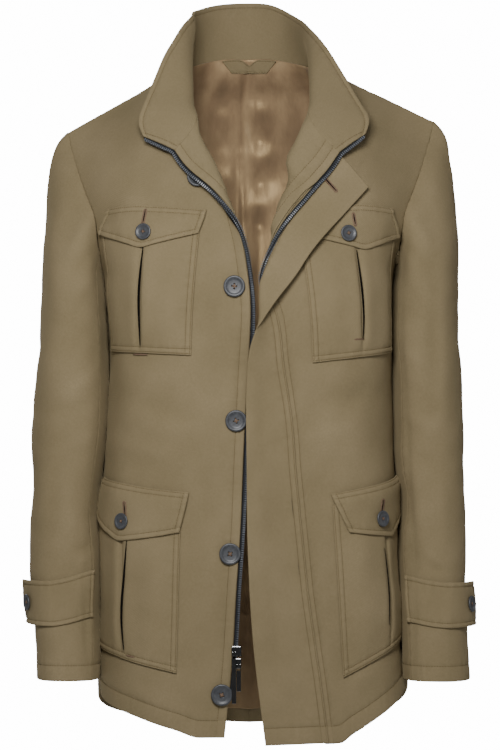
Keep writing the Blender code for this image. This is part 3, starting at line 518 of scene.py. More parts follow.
# Long soft waves of the whole cloth: direction, wavelength in mm, height in mm, phase.
WAVES = (
    ((0.9, 0.3, 0.3), 118, 0.75, 0.4), ((0.2, 0.4, 0.9), 143, 0.6, 1.9),
    ((0.7, -0.5, 0.5), 74, 0.42, 3.1), ((-0.6, 0.3, 0.74), 57, 0.3, 5.0),
    ((0.95, 0.1, -0.3), 41, 0.2, 2.2), ((0.3, 0.2, 0.93), 33, 0.13, 0.9),
    ((0.6, 0.5, -0.62), 27, 0.09, 4.1), ((-0.8, 0.1, 0.6), 21, 0.06, 2.7),
)


def waves(points):
    """The height, in mm, that the long waves give each point."""
    total = np.zeros(points.shape[:-1])
    for direction, wave, height, phase in WAVES:
        unit = np.array(direction) / np.linalg.norm(direction)
        total += height * np.sin(points @ unit / (wave * MM) * 2 * math.pi + phase)
    return total


# Main creases, from the front (f), the back (b) or the outer side (o): x or y and z of both
# ends, width and height, all in mm. A trough has a height below nought.
BODY_CREASES = (
    # wearer's right chest, drawn towards the armhole and the fly
    ("f", -150, -168, -118, -198, 9, 1.3), ("f", -165, -182, -150, -240, 8, -1.2),
    ("f", -172, -215, -160, -320, 9, 1.4), ("f", -45, -170, -30, -250, 8, 1.1),
    ("f", -30, -240, -46, -330, 10, -1.0), ("f", -20, -330, -24, -450, 9, 1.0),
    ("f", -140, -375, -60, -392, 10, 1.3), ("f", -150, -402, -70, -428, 12, -1.4),
    ("f", -130, -446, -50, -440, 10, 1.0), ("f", -160, -455, -95, -474, 9, 1.1),
    ("f", -60, -470, -38, -560, 10, -1.2), ("f", -42, -565, -50, -690, 11, 1.2),
    ("f", -28, -560, -30, -660, 6, -1.2), ("f", -172, -560, -176, -660, 9, 1.0),
    ("f", -150, -735, -90, -765, 9, 1.1), ("f", -80, -748, -40, -770, 8, -0.9),
    # wearer's left chest
    ("f", 150, -160, 122, -192, 9, 1.2), ("f", 172, -180, 160, -245, 8, -1.2),
    ("f", 168, -240, 164, -330, 9, 1.3), ("f", 60, -150, 52, -188, 8, 0.9),
    ("f", 42, -300, 48, -400, 9, -1.5), ("f", 60, -372, 140, -384, 10, 1.3),
    ("f", 76, -412, 150, -400, 11, -1.4), ("f", 62, -452, 120, -440, 10, 1.1),
    ("f", 140, -440, 164, -470, 9, -0.9), ("f", 78, -560, 92, -690, 9, 1.2),
    ("f", 66, -480, 80, -640, 9, -1.0), ("f", 176, -560, 178, -650, 9, 1.0),
    ("f", 100, -742, 160, -715, 9, 1.0), ("f", 16, -385, 14, -470, 7, -1.1),
    ("f", 10, -480, 14, -600, 8, 0.8), ("f", 22, -610, 34, -740, 7, -0.9),
    # shoulders and lapels
    ("f", -135, -60, -90, -100, 10, 1.0), ("f", 150, -62, 105, -98, 10, 1.0),
    ("f", -100, -128, -62, -170, 8, 0.9), ("f", 110, -120, 66, -168, 9, 0.9),
    # hidden back: a few of the same kind
    ("b", -150, -110, -90, -150, 11, 1.3), ("b", 150, -100, 96, -146, 11, 1.3),
    ("b", -170, -200, -150, -300, 10, -1.3), ("b", 172, -190, 152, -296, 10, -1.3),
    ("b", -140, -370, -30, -392, 12, 1.5), ("b", 40, -380, 150, -362, 12, 1.4),
    ("b", -150, -410, -50, -430, 13, -1.6), ("b", 20, -424, 140, -404, 13, -1.5),
    ("b", -120, -460, -20, -452, 11, 1.2), ("b", 50, -468, 150, -450, 11, 1.1),
    ("b", -60, -560, -70, -720, 14, 1.3), ("b", 80, -550, 86, -730, 14, 1.2),
)
SLEEVE_CREASES = {
    "right": (
        ("f", -178, -190, -212, -236, 8, 1.8), ("f", -174, -226, -206, -262, 7, -1.6),
        ("f", -180, -262, -214, -300, 8, 1.5), ("f", -232, -210, -224, -300, 12, 1.2),
        ("f", -186, -330, -226, -350, 9, -1.3), ("f", -180, -376, -216, -404, 9, 1.6),
        ("f", -184, -412, -232, -424, 9, -1.5), ("f", -182, -450, -222, -470, 9, 1.3),
        ("f", -214, -480, -206, -580, 10, 1.0), ("f", -184, -590, -200, -600, 5, 1.2),
        ("f", -182, -578, -206, -584, 5, -1.2), ("f", -226, -500, -236, -590, 9, -1.1),
        ("f", -196, -668, -230, -676, 7, 0.8), ("o", 6, -230, -20, -330, 13, 1.5),
        ("o", -26, -340, 14, -396, 11, -1.4), ("o", 10, -420, -30, -470, 11, 1.3),
        ("o", -36, -500, 0, -560, 11, -1.2), ("b", -190, -230, -226, -290, 10, 1.6),
        ("b", -182, -380, -224, -400, 9, -1.5), ("b", -184, -430, -226, -446, 9, 1.5),
        ("b", -200, -500, -214, -590, 10, 1.0),
        # the seam down the front of the sleeve
        ("f", -170, -330, -176, -444, 3.2, -1.1), ("f", -176, -444, -190, -613, 3.2, -1.2),
        ("f", -190, -613, -187, -740, 3.2, -1.1),
    ),
    "left": (
        ("f", 180, -188, 214, -230, 8, 1.8), ("f", 176, -222, 208, -256, 7, -1.6),
        ("f", 182, -262, 216, -294, 8, 1.5), ("f", 216, -230, 214, -420, 9, -1.6),
        ("f", 228, -250, 226, -430, 9, 1.4), ("f", 184, -352, 208, -366, 8, 1.3),
        ("f", 182, -392, 214, -410, 9, -1.5), ("f", 184, -428, 228, -446, 9, 1.6),
        ("f", 188, -470, 220, -486, 9, -1.2), ("f", 196, -500, 204, -590, 9, 1.1),
        ("f", 206, -586, 226, -598, 5, 1.3), ("f", 208, -602, 228, -606, 4, -1.2),
        ("f", 232, -480, 238, -580, 9, -1.0), ("f", 196, -676, 226, -684, 7, 0.8),
        ("o", 4, -226, -22, -320, 13, 1.5), ("o", -24, -336, 12, -390, 11, -1.4),
        ("o", 8, -424, -30, -476, 11, 1.3), ("o", -34, -506, 2, -570, 11, -1.2),
        ("b", 190, -226, 228, -284, 10, 1.6), ("b", 184, -384, 226, -402, 9, -1.5),
        ("b", 186, -434, 226, -452, 9, 1.5), ("b", 202, -506, 214, -590, 10, 1.0),
        # the seam down the front of the sleeve
        ("f", 176, -290, 181, -388, 3.2, -1.1), ("f", 181, -388, 193, -604, 3.2, -1.2),
        ("f", 193, -604, 190, -740, 3.2, -1.1),
    ),
}
# The satin hangs from the neck with a pleat down its middle and soft cross folds beside it.
LINING_CREASES = (
    ("f", -13, -10, -9, -110, 4, 3.4), ("f", -9, -110, -4, -250, 4, 3.2),
    ("f", -5, -10, 1, -240, 4.5, -3.6), ("f", 2, -62, 26, -60, 11, 3.0),
    ("f", 2, -118, 26, -114, 12, 3.2), ("f", 4, -174, 22, -170, 11, 2.8),
    ("f", -2, -42, 24, -40, 8, -2.2), ("f", -2, -90, 28, -94, 9, -2.4),
    ("f", 0, -147, 24, -143, 9, -2.6), ("f", 0, -196, 20, -200, 9, -2.2),
    ("f", -44, -60, -20, -72, 10, 2.0), ("f", -40, -96, -18, -104, 10, -1.8),
    ("f", -36, -134, -18, -146, 10, 2.2), ("f", 40, -50, 34, -150, 8, -1.8),
    ("f", -28, -30, -22, -210, 8, 1.5), ("f", -6, -250, -4, -700, 6, 2.0),
    ("f", 12, -240, 14, -700, 7, -1.6), ("f", -24, -250, -20, -600, 9, 1.5),
    ("f", 34, -250, 40, -600, 10, 1.5), ("f", -22, -566, 6, -572, 5, 1.4),
    ("f", -20, -590, 8, -598, 5, -1.3), ("f", -24, -612, 4, -616, 5, 1.4),
    ("f", -18, -640, 8, -650, 6, -1.4), ("f", -22, -668, 4, -672, 5, 1.5),
    ("f", -20, -696, 8, -706, 6, -1.4), ("f", -24, -728, 6, -732, 6, 1.5),
)
# The satin hangs this far in front of the back, comes free of it this far inside its seams, and
# its troughs go no deeper behind its solid than this. In mm.
LINING_AHEAD, LINING_FREE, LINING_BEHIND = 2.3, 34, 0.5
# How far each sleeve's inner side rounds out to hang against the body: z and mm, from the top.
SLEEVE_HANG = {
    "right": (
        (-260, 0), (-290, 2), (-330, 4), (-400, 5.5), (-445, 6.5), (-520, 5), (-545, 3.8),
        (-570, 7), (-595, 10), (-640, 10.5), (-690, 9.5), (-730, 7), (-760, 6),
    ),
    "left": (
        (-260, 0), (-280, 4), (-330, 5.5), (-360, 2.5), (-400, 1.5), (-440, 3), (-470, 7),
        (-495, 7), (-515, 5), (-540, 6.5), (-564, 11.5), (-590, 11.5), (-611, 9.5), (-640, 7),
        (-680, 4), (-740, 3),
    ),
}
# A facing lies this far behind the face of its front, in mm.
FACING_BEHIND = 2.3
# How much wider the left facing is cut where the lapel rolls: z and mm, from below.
LAPEL_ROLL = ((-235, 0), (-205, 14), (-170, 26), (-157, 27), (-134, 3.5), (-104, 5), (-80, 0))
# Relief near a border, in mm: how high the cloth puffs between its rows, and how deep and wide a
# stitch row and a seam sink.
PUFF, ROW_DIP, ROW_WIDTH, SEAM_DIP, SEAM_WIDTH = 0.42, 0.5, 0.85, 0.55, 1.1
# Puckers along the last stitch row and along a seam: how far from it they die away, in mm, then
# the height and wavelength of each, in mm, and its share of the seed.
ROW_PUCKERS = 7.0, ((0.20, 9.3, 1), (0.16, 14.7, 2.3), (0.10, 5.9, 4.1))
SEAM_PUCKERS = 6.0, ((0.18, 11, 1), (0.12, 17, 3))
# An open edge is rounded over this width, and creases fade over this width at a seam, in mm.
EDGE_ROUND, SEAM_FADE = 1.1, 14


def creases(points, normals, table, side=1):
    """The height, in mm, that a table of creases gives each point."""
    total = np.zeros(points.shape[:-1])
    views = {"f": (0, -normals[..., 1]), "b": (0, normals[..., 1]), "o": (1, side * normals[..., 0])}
    for face, a0, z0, a1, z1, width, height in table:
        axis, facing = views[face]
        here = points[..., (axis, 2)] / MM
        start, along = np.array([a0, z0], float), np.array([a1 - a0, z1 - z0], float)
        t = np.clip((here - start) @ along / (along @ along), 0, 1)
        away = np.linalg.norm(here - start - t[..., None] * along, axis=-1)
        # gone where the cloth turns from view, and fainter at both ends than midway
        weight = np.clip(facing * 2.2, 0, 1) * (0.4 + 0.6 * np.sin(math.pi * t))
        total += height * weight * np.exp(-((away / width) ** 2))
    return total


def puckers(away, along, table, seed):
    """Small waves along a row or seam that die away from it. Distances are in mm."""
    reach, ripples = table
    ripple = sum(h * np.sin(along / wave * 2 * math.pi + share * seed) for h, wave, share in ripples)
    return np.exp(-((away / reach) ** 2)) * ripple


def rim_and_rows(distance, along, border, seed):
    """Low relief near a border: a puffed rim, a valley at each stitch row and its puckers."""
    d = distance / MM
    s = along / MM
    total = np.zeros_like(d)
    last = 0.0
    for row in border.rows:
        inside = (d > last) & (d < row)
        swell = PUFF * np.sin(math.pi * np.clip((d - last) / (row - last), 0, 1))
        total += np.where(inside, swell, 0)
        total -= ROW_DIP * np.exp(-(((d - row) / ROW_WIDTH) ** 2))
        last = row
    if border.rows:
        total += puckers(d - last, s, ROW_PUCKERS, seed)
    elif border.kind == "seam":
        total += puckers(d, s, SEAM_PUCKERS, seed)
        total -= SEAM_DIP * np.exp(-((d / SEAM_WIDTH) ** 2))
    return total


@dataclass
class Border:
    """One border of a cloth: its kind (edge, seam or plain), its stitch rows, in mm from it, and
    how far the solid is drawn in from it, in mm, as one figure or as one for each point."""

    kind: str
    rows: tuple = ()
    drawn_in: object = 0.0


@dataclass
class Cloth:
    """A cloth piece: its solid's node, the rows and columns of its grid, which way it faces, its
    wall in mm, its left, right, top and bottom borders, the family whose creases it takes, and
    the spacing of its points in mm. A firm one keeps its folds sharp."""

    node: str
    shape: tuple
    towards: tuple
    wall: float
    borders: tuple
    family: str
    step: float = 4.0
    firm: bool = False
    shows: str = "outer"
    flip: bool = False
    behind: str = ""
    material: str = "twill"
    slot: str = "shell"
    rests: tuple = ()
    held: str = "hung"
    depth: float = 1.0


def edge(*rows, drawn_in=0.0):
    return Border("edge", rows, drawn_in)


def seam(drawn_in):
    return Border("seam", (), drawn_in)


HEM = edge(20.0)


def grown(grid, borders):
    """The grid with its seam borders grown back to the seam they were drawn in from."""
    grid = np.array(grid)
    lines = (grid[:, 0], grid[:, 1]), (grid[:, -1], grid[:, -2]), (grid[0], grid[1]), (grid[-1], grid[-2])
    for i in (2, 3, 0, 1):  # the top and the bottom first
        line, nearby = lines[i]
        away = line - nearby
        length = np.linalg.norm(away, axis=1, keepdims=True)
        amount = np.resize(np.asarray(borders[i].drawn_in, float), len(line))
        line += away / length * (amount * MM)[:, None]
    return grid


def facing_grid(front, columns):
    """A facing's grid, against the back of its front's edge and wider where the lapel rolls."""
    grid, sign = made["grids"][front]
    grid = (grid - grid_normals(grid, sign) * FACING_BEHIND * MM)[:, -columns:]
    heights, wider = zip(*LAPEL_ROLL)
    for line in grid:
        roll = int(np.argmin(line[:, 0]))
        share = np.clip((len(line) - 1 - np.arange(len(line))) / max(1, len(line) - 1 - roll), 0, 1)
        line[:, 0] -= share * np.interp(line[roll, 2] / MM, heights, wider) * MM
    return grid, sign


def cloth_grid(cloth):
    """A piece's coarse grid, out to its seams, with the sign of its normals."""
    if cloth.behind:
        grid, sign = facing_grid(cloth.behind, cloth.shape[1])
    else:
        grid, sign = wall_grid(cloth.node, cloth.shape, cloth.towards, cloth.wall)
    if cloth.slot == "zip":  # the tape's raw end is turned under above the hem
        grid = grid[:-1]
    made["grids"][cloth.node] = grid, sign
    if cloth.flip:
        grid, sign = grid[:, ::-1], -sign
    return grown(grid, cloth.borders), sign


def firm_places(grid, step, start, end):
    """Which stations of a folded piece keep its own columns, and how each lies between them."""
    lengths = np.mean([chords(line) for line in grid], axis=0)
    low, high = start[-1] + 0.4 * MM, lengths[-1] - end[-1] - 0.4 * MM
    spots = []
    for i, (a, b) in enumerate(zip(lengths, lengths[1:])):
        count = max(1, round((b - a) / step))
        spots += [(i, t) for t in np.arange(count) / count if low < a + (b - a) * t < high]
    return spots


def finer(cloth, grid, across, down):
    """The grid with as many points as its rims, rows and folds need, along its rows and then down
    its columns."""
    lengths = [chords(line)[-1] for line in grid]
    columns = max(2, round((np.mean(lengths) - across[0][-1] - across[1][-1]) / (cloth.step * MM)))
    spots = firm_places(grid, cloth.step * MM, *across) if cloth.firm else ()
    wide = []
    for line in grid:
        places = chords(line)
        if cloth.firm:
            middle = [places[i] + (places[i + 1] - places[i]) * t for i, t in spots]
            middle = np.clip(middle, across[0][-1] + 0.2 * MM, places[-1] - across[1][-1] - 0.2 * MM)
            wanted = np.concatenate([across[0], middle, places[-1] - across[1][::-1]])
            wide.append(firm_line(line, places, wanted))
        else:
            wide.append(smooth_line(line, places, stations(places[-1], columns, *across)))
    upright = np.array(wide).transpose(1, 0, 2)
    lengths = [chords(line)[-1] for line in upright]
    rows = max(2, round((np.mean(lengths) - down[0][-1] - down[1][-1]) / (cloth.step * 1.15 * MM)))
    tall = []
    for line in upright:
        places = chords(line)
        tall.append(smooth_line(line, places, stations(places[-1], rows, *down)))
    return np.array(tall).transpose(1, 0, 2)


def round_out(cloth, grid, points):
    """Rounds a sleeve's inner side out, so that it hangs against the body."""
    k = SIDES[cloth.family]
    heights, rounds = np.array(SLEEVE_HANG[cloth.family][::-1], float).T
    if cloth.node.startswith("top_sleeve"):  # its width is the whole sleeve's
        made["reach"] = np.array(sorted(
            (line[:, 2].mean(), (k * line[:, 0]).min(), (k * line[:, 0]).max()) for line in grid
        ))
    level, near, far = made["reach"].T
    near, far = np.interp(points[..., 2], level, near), np.interp(points[..., 2], level, far)
    inward = np.clip(1 - (k * points[..., 0] - near) / (far - near) * 2, 0, 1)
    points[..., 0] -= k * MM * np.interp(points[..., 2] / MM, heights, rounds) * inward


def run(points, axis):
    """How far down its column (axis 0) or along its row (axis 1) each point lies."""
    steps = np.cumsum(np.linalg.norm(np.diff(points, axis=axis), axis=2), axis=axis)
    return np.concatenate([np.zeros_like(steps.take([0], axis)), steps], axis)


def low_relief(cloth, points, normals, away):
    """The waves and creases of a piece, in mm, which fade towards its seams."""
    if cloth.family == "lining":
        loose = np.clip(np.minimum.reduce(away) / (LINING_FREE * MM), 0, 1)
        hang = -creases(points, -normals, LINING_CREASES) - LINING_AHEAD
        return np.minimum(hang * loose, LINING_BEHIND)
    if cloth.family == "body":
        low = waves(points) + creases(points, normals, BODY_CREASES)
    elif cloth.family in SIDES:
        table = SLEEVE_CREASES[cloth.family]
        low = waves(points) + creases(points, normals, table, SIDES[cloth.family])
    else:
        low = 0.3 * waves(points)
    low = low * cloth.depth
    fade = np.ones_like(low)
    for distance, border in zip(away, cloth.borders):
        if border.kind == "seam":
            fade = np.minimum(fade, 0.35 + 0.65 * np.clip(distance / (SEAM_FADE * MM), 0, 1))
    return low * fade


def fine_relief(cloth, u, v, away):
    """The rims, rows and puckers of a piece, in mm, and the share of its wall that each point has."""
    fine, half = np.zeros_like(u), np.ones_like(u)
    for i, (distance, along, border) in enumerate(zip(away, (v, v, u, u), cloth.borders)):
        fine += rim_and_rows(distance, along, border, 1.7 * i + len(cloth.node))
        if border.kind != "seam":
            d = np.clip(distance / (EDGE_ROUND * MM), 0, 1)
            half = np.minimum(half, np.sqrt(np.maximum(0.05, 1 - (1 - d) ** 2)))
    return fine, half


def make_skin(cloth):
    """Turns one cloth solid into finely modelled cloth, and keeps its faces for the sewing."""
    grid, sign = cloth_grid(cloth)
    left, right, top, bottom = (border_stations(border) for border in cloth.borders)
    points = finer(cloth, grid, (left, right), (top, bottom))
    if cloth.family in SIDES:
        round_out(cloth, grid, points)
    normals = grid_normals(points, sign)
    u, v = run(points, 1), run(points, 0)
    away = [u, u[:, -1:] - u, v, v[-1:] - v]
    low = low_relief(cloth, points, normals, away)
    fine, half = fine_relief(cloth, u, v, away)
    thick = cloth.wall * MM
    middle = points - normals * thick / 2 + normals * low[..., None] * MM
    faces, shown = [], []
    for name, facing in (("outer", normals), ("inner", -normals)):
        seen = cloth.shows in (name, "both")
        face = middle + facing * (half * thick / 2 + fine * seen * MM)[..., None]
        faces.append(face)
        if seen:
            shown.append((face, facing))
    made["skins"][cloth.node] = {"cloth": cloth, "stations": (left, right, top, bottom), "faces": shown}
    # Painted light and shade for the colour: paler on raised places, darker in troughs and stitch rows.
    relief_shading = np.clip(0.035 * low + 0.10 * fine, -0.12, 0.10)
    piece = closed_cloth("cloth_" + cloth.node, *faces, u, v, relief_shading, sign)
    piece.data.materials.append(made[cloth.material])
    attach(piece, "jacket")
    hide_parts(cloth.node)


def closed_cloth(name, outer, inner, u, v, relief_shading, sign):
    """One closed mesh from both faces of the cloth, with its own UV map and its pile."""
    rows, columns = outer.shape[:2]
    index = np.arange(rows * columns).reshape(rows, columns)
    a, b, c, d = index[:-1, :-1], index[:-1, 1:], index[1:, 1:], index[1:, :-1]
    front = np.stack([a, b, c, d], -1).reshape(-1, 4)
    if sign < 0:
        front = front[:, ::-1]
    back = front[:, ::-1] + rows * columns
    loop = np.concatenate([index[0, :-1], index[:-1, -1], index[-1, :0:-1], index[:0:-1, 0]])
    after = np.roll(loop, -1)
    rim = np.stack([after, loop, loop + rows * columns, after + rows * columns], -1)
    if sign < 0:
        rim = rim[:, ::-1]
    faces = np.concatenate([front, back, rim])
    mesh = bpy.data.meshes.new(name)
    points = np.concatenate([outer.reshape(-1, 3), inner.reshape(-1, 3)])
    mesh.from_pydata(points.tolist(), [], faces.tolist())
    layer = mesh.uv_layers.new(name="cloth")
    flat = np.stack([np.tile(u.ravel(), 2), np.tile(v.ravel(), 2)], -1)
    corners = np.zeros(len(mesh.loops), int)
    mesh.loops.foreach_get("vertex_index", corners)
    layer.data.foreach_set("uv", flat[corners].ravel())
    attribute = mesh.attributes.new("relief_shading", "FLOAT", "POINT")
    attribute.data.foreach_set("value", np.tile(relief_shading.ravel(), 2).astype(np.float32))
    mesh.shade_smooth()
    return new_object(name, mesh)


# ---------------------------------------------------------------- which cloth is where


def panels():
    """The fronts, the backs and the facings on the lapels."""
    for side, k in SIDES.items():
        yield Cloth(
            "front_" + side, (25, 16), (0, -1, 0), 2.0,
            (
                seam([1.0] * 2 + [0.3] * 23), edge(10.5, drawn_in=0.3),
                seam([3.1, 2.9, 2.7, 2.3, 2.1] + [0.35] * 11), HEM,
            ),
            "body", rests=["collar"],
        )
        yield Cloth(
            "back_" + side, (19, 10), (0, 1, 0), 2.0,
            (
                seam([1.0] * 2 + [0.3] * 17), seam([1.2, 0.8] + [0.25] * 17),
                seam([3.1, 2.9, 2.6, 2.2, 2.0] + [0.35] * 5), HEM,
            ),
            "body", rests=["collar"], flip=side == "left",
        )
        rows = (9.5, 21.0) if k > 0 else (9.5,)
        yield Cloth(
            "facing_" + side, (25, 9), (0, -1, 0), 1.2,
            (seam(0.25), edge(*rows, drawn_in=0.3), seam(0.25), Border("plain", (), 1.0)),
            "body", shows="inner", rests=["front_" + side],
            behind="front_left" if side == "left" else "",
        )


def sleeves():
    """The sleeves in two parts each, and the cuff tabs."""
    for side, k in SIDES.items():
        borders = seam(1.0), seam(1.0), seam(1.6), edge(18.0)
        yield Cloth(
            "top_sleeve_" + side, (14, 15), (k, 0, 0), 1.8, borders, side,
            rests=["front_" + side], step=3.0,
        )
        yield Cloth(
            "under_sleeve_" + side, (14, 7), (-k, 0.6, 0), 1.8, borders, side,
            rests=["top_sleeve_" + side],
        )
        yield Cloth(
            "cuff_tab_" + side, (3, 10), (k, -1, 0), 2.0, (edge(5.6),) * 4, side,
            rests=["top_sleeve_" + side], step=3.0, firm=True, held="laid",
        )


def neck():
    """The collar, the lining that hangs from its seam, and the hanger loop."""
    yield Cloth(
        "collar", (5, 31), (0, 1, 0), 3.0, (edge(6.0), edge(6.0), edge(6.0), seam(2.2)), "neck",
        shows="both", rests=["front_left", "front_right"], step=3.5, held="folded",
    )
    yield Cloth(
        "back_lining", (19, 21), (0, 1, 0), 1.0, (seam(0.25), seam(0.25), seam(3.5), edge()),
        "lining", shows="inner", material="satin", slot="lining", rests=["back_left", "back_right"],
    )
    yield Cloth(
        "hanger_loop", (2, 9), (0, 1, 0), 1.4, (edge(), edge(), edge(1.8), edge(1.8)), "neck",
        shows="inner", rests=["collar"], step=2.0, depth=0.3, held="laid",
    )


def pockets():
    """Four patch pockets and their flaps."""
    twin = edge(1.6, 7.2)
    for side in SIDES:
        for place in ("chest", "hip"):
            yield Cloth(
                f"{place}_pocket_{side}", (7, 12), (0, -1, 0), 1.8,
                (twin, twin, Border("plain"), twin),
                "body", firm=True, step=3.4, rests=["front_" + side], held="laid",
            )
            yield Cloth(
                f"{place}_flap_{side}", (5, 9), (0, -1, 0), 2.0,
                (edge(6.2), edge(6.2), twin, edge(6.2)),
                "body", firm=True, step=3.0, rests=["front_" + side], held="laid",
            )


def fly():
    """The fly and, under it, the tape of the zip on each side."""
    yield Cloth(
        "fly_placket", (25, 8), (0, -1, 0), 2.0, (edge(1.8, 8.0), edge(), edge(), HEM),
        "body", shows="both", step=3.6, rests=["front_left"],
    )
    for side in SIDES:
        yield Cloth(
            "zip_tape_" + side, (29, 2), (0, -1, 0), 2.2, (Border("plain"),) * 4,
            "body", shows="both", step=1.6, material="tape", slot="zip", rests=["front_" + side],
        )


# ---------------------------------------------------------------- sewing


# The middle of a stitch stands this far above the cloth, in mm.
STITCH_LIFT = 0.12


def stitch_lines(skin):
    """The stitch rows of a piece, as lines of points with their normals."""
    spots = zip(skin["stations"], skin["cloth"].borders)
    places = [[int(np.argmin(np.abs(s - row * MM))) for row in border.rows] for s, border in spots]
    left, right, top, bottom = places
    c0, c1, r0, r1 = (found[0] if found else 1 for found in places)
    lines = []
    for points, normals in skin["faces"]:
        rows, columns = points.shape[:2]
        tall, wide = slice(r0, rows - r1), slice(c0, columns - c1)
        for c in left + [columns - 1 - place for place in right]:
            lines.append((points[tall, c], normals[tall, c]))
        for r in top + [rows - 1 - place for place in bottom]:
            lines.append((points[r, wide], normals[r, wide]))
    return lines


def line_object(name, lines):
    """Loose lines with a facing at each point, for the sewing tree."""
    points, edges, facing = [], [], []
    for line, normals in lines:
        start = len(points)
        points += (line + normals * STITCH_LIFT * MM).tolist()
        facing += normals.tolist()
        edges += [(i, i + 1) for i in range(start, len(points) - 1)]
    mesh = bpy.data.meshes.new(name)
    mesh.from_pydata(points, edges, [])
    attribute = mesh.attributes.new("facing", "FLOAT_VECTOR", "POINT")
    attribute.data.foreach_set("vector", np.array(facing, np.float32).ravel())
    return new_object(name, mesh)


def repeat_tree(shape):
    """Geometry nodes that set a small shape at even steps along lines, turned to their facing."""
    tree = bpy.data.node_groups.new(shape, "GeometryNodeTree")
    face = tree.interface
    face.new_socket("Geometry", in_out="INPUT", socket_type="NodeSocketGeometry")
    for label in ("Pitch", "Length", "Width", "Height"):
        face.new_socket(label, in_out="INPUT", socket_type="NodeSocketFloat")
    face.new_socket("Material", in_out="INPUT", socket_type="NodeSocketMaterial")
    face.new_socket("Geometry", in_out="OUTPUT", socket_type="NodeSocketGeometry")
    given = add(tree, "NodeGroupInput").outputs
    curve = add(tree, "GeometryNodeMeshToCurve", {"Mesh": given["Geometry"]}).outputs[0]
    even = add(
        tree, "GeometryNodeResampleCurve", {"Curve": curve, "Length": given["Pitch"]}, mode="LENGTH"
    ).outputs[0]
    if shape == "stitch":
        ball = {"Segments": 6, "Rings": 4, "Radius": 0.5}
        one = add(tree, "GeometryNodeMeshUVSphere", ball).outputs["Mesh"]
    else:
        one = add(tree, "GeometryNodeMeshCube", {"Size": (1, 1, 1)}).outputs["Mesh"]
    tangent = add(tree, "GeometryNodeInputTangent").outputs[0]
    facing = add(
        tree, "GeometryNodeInputNamedAttribute", {"Name": "facing"}, data_type="FLOAT_VECTOR"
    ).outputs[0]
    turn = add(
        tree, "FunctionNodeAxesToRotation", {"Primary Axis": tangent, "Secondary Axis": facing},
        primary_axis="X", secondary_axis="Z",
    ).outputs[0]
    sizes = {"X": given["Length"], "Y": given["Width"], "Z": given["Height"]}
    size = add(tree, "ShaderNodeCombineXYZ", sizes).outputs[0]
    set_out = add(
        tree, "GeometryNodeInstanceOnPoints",
        {"Points": even, "Instance": one, "Rotation": turn, "Scale": size},
    ).outputs[0]
    real = add(tree, "GeometryNodeRealizeInstances", {"Geometry": set_out}).outputs[0]
    dressed = add(
        tree, "GeometryNodeSetMaterial", {"Geometry": real, "Material": given["Material"]}
    ).outputs[0]
    add(tree, "NodeGroupOutput", {"Geometry": dressed})
    return tree


def repeated(name, lines, shape, pitch, size, material):
    """Bakes one repeat along the lines into a plain mesh that rides with the jacket."""
    source = line_object(name + "_lines", lines)
    tree = bpy.data.node_groups.get(shape) or repeat_tree(shape)
    modifier = source.modifiers.new("repeat", "NODES")
    modifier.node_group = tree
    values = {"Pitch": pitch * MM, "Material": made[material]}
    values |= {label: mm * MM for label, mm in zip(("Length", "Width", "Height"), size)}
    for item in tree.interface.items_tree:
        if item.in_out == "INPUT" and item.name in values:
            modifier[item.identifier] = values[item.name]
    source.update_tag()
    bpy.context.view_layer.update()
    graph = bpy.context.evaluated_depsgraph_get()
    mesh = bpy.data.meshes.new_from_object(source.evaluated_get(graph), depsgraph=graph)
    mesh.name = name
    if shape == "stitch":
        mesh.shade_smooth()
    else:
        mesh.shade_flat()
    bpy.data.objects.remove(source)
    piece = new_object(name, mesh)
    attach(piece, "jacket")


def on_cloth(node, x, z):
    """The point of a piece's visible face at this x and z, in mm, and its normal."""
    best = None
    for points, normals in made["skins"][node]["faces"]:
        away = np.hypot(points[..., 0] - x * MM, points[..., 2] - z * MM)
        away = np.where(normals[..., 1] < -0.1, away, 1.0)  # only where it faces the front
        r, c = np.unravel_index(np.argmin(away), away.shape)
        if best is None or away[r, c] < best[0]:
            best = away[r, c], points[r, c], normals[r, c]
    _, p, n = best
    dx, dz = x * MM - p[0], z * MM - p[2]
    return np.array([x * MM, p[1] - (n[0] * dx + n[2] * dz) / n[1], z * MM]), n


def skin_rings(mesh, rings, closed=False):
    """Faces from each ring of points to the next, and caps where the rings don't close."""
    for one, two in zip(rings, rings[1:] + (rings[:1] if closed else [])):
        for k in range(len(one)):
            n = (k + 1) % len(one)
            mesh.faces.new((one[k], one[n], two[n], two[k]))
    if not closed:
        mesh.faces.new(rings[0][::-1])
        mesh.faces.new(rings[-1])


# A thread has this many sides, and its ends taper to this share of its radius.
THREAD_SIDES, THREAD_TIP = 8, 0.45


def tube(mesh, line, normals, radius, flat=1.0, closed=False):
    """A thread along a line, its section an ellipse that lies on the cloth."""
    line, normals = np.asarray(line, float), np.asarray(normals, float)
    turns = [2 * math.pi * k / THREAD_SIDES for k in range(THREAD_SIDES)]
    rings = []
    count = len(line)
    for i in range(count):
        a = line[(i - 1) % count] if closed or i else line[i]
        b = line[(i + 1) % count] if closed or i < count - 1 else line[i]
        along = (b - a) / max(np.linalg.norm(b - a), 1e-9)
        across = np.cross(normals[i], along)
        across /= max(np.linalg.norm(across), 1e-9)
        up = np.cross(along, across)
        size = (1.0 if closed or 0 < i < count - 1 else THREAD_TIP) * radius * MM
        round_it = [across * math.cos(turn) + up * math.sin(turn) * flat for turn in turns]
        rings.append([mesh.verts.new(line[i] + size * way) for way in round_it])
    skin_rings(mesh, rings, closed)


def finished(mesh, name, material):
    """A mesh as a smooth piece that rides with the jacket."""
    bmesh.ops.recalc_face_normals(mesh, faces=mesh.faces)
    data = bpy.data.meshes.new(name)
    mesh.to_mesh(data)
    mesh.free()
    data.shade_smooth()
    data.materials.append(made[material])
    piece = new_object(name, data)
    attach(piece, "jacket")


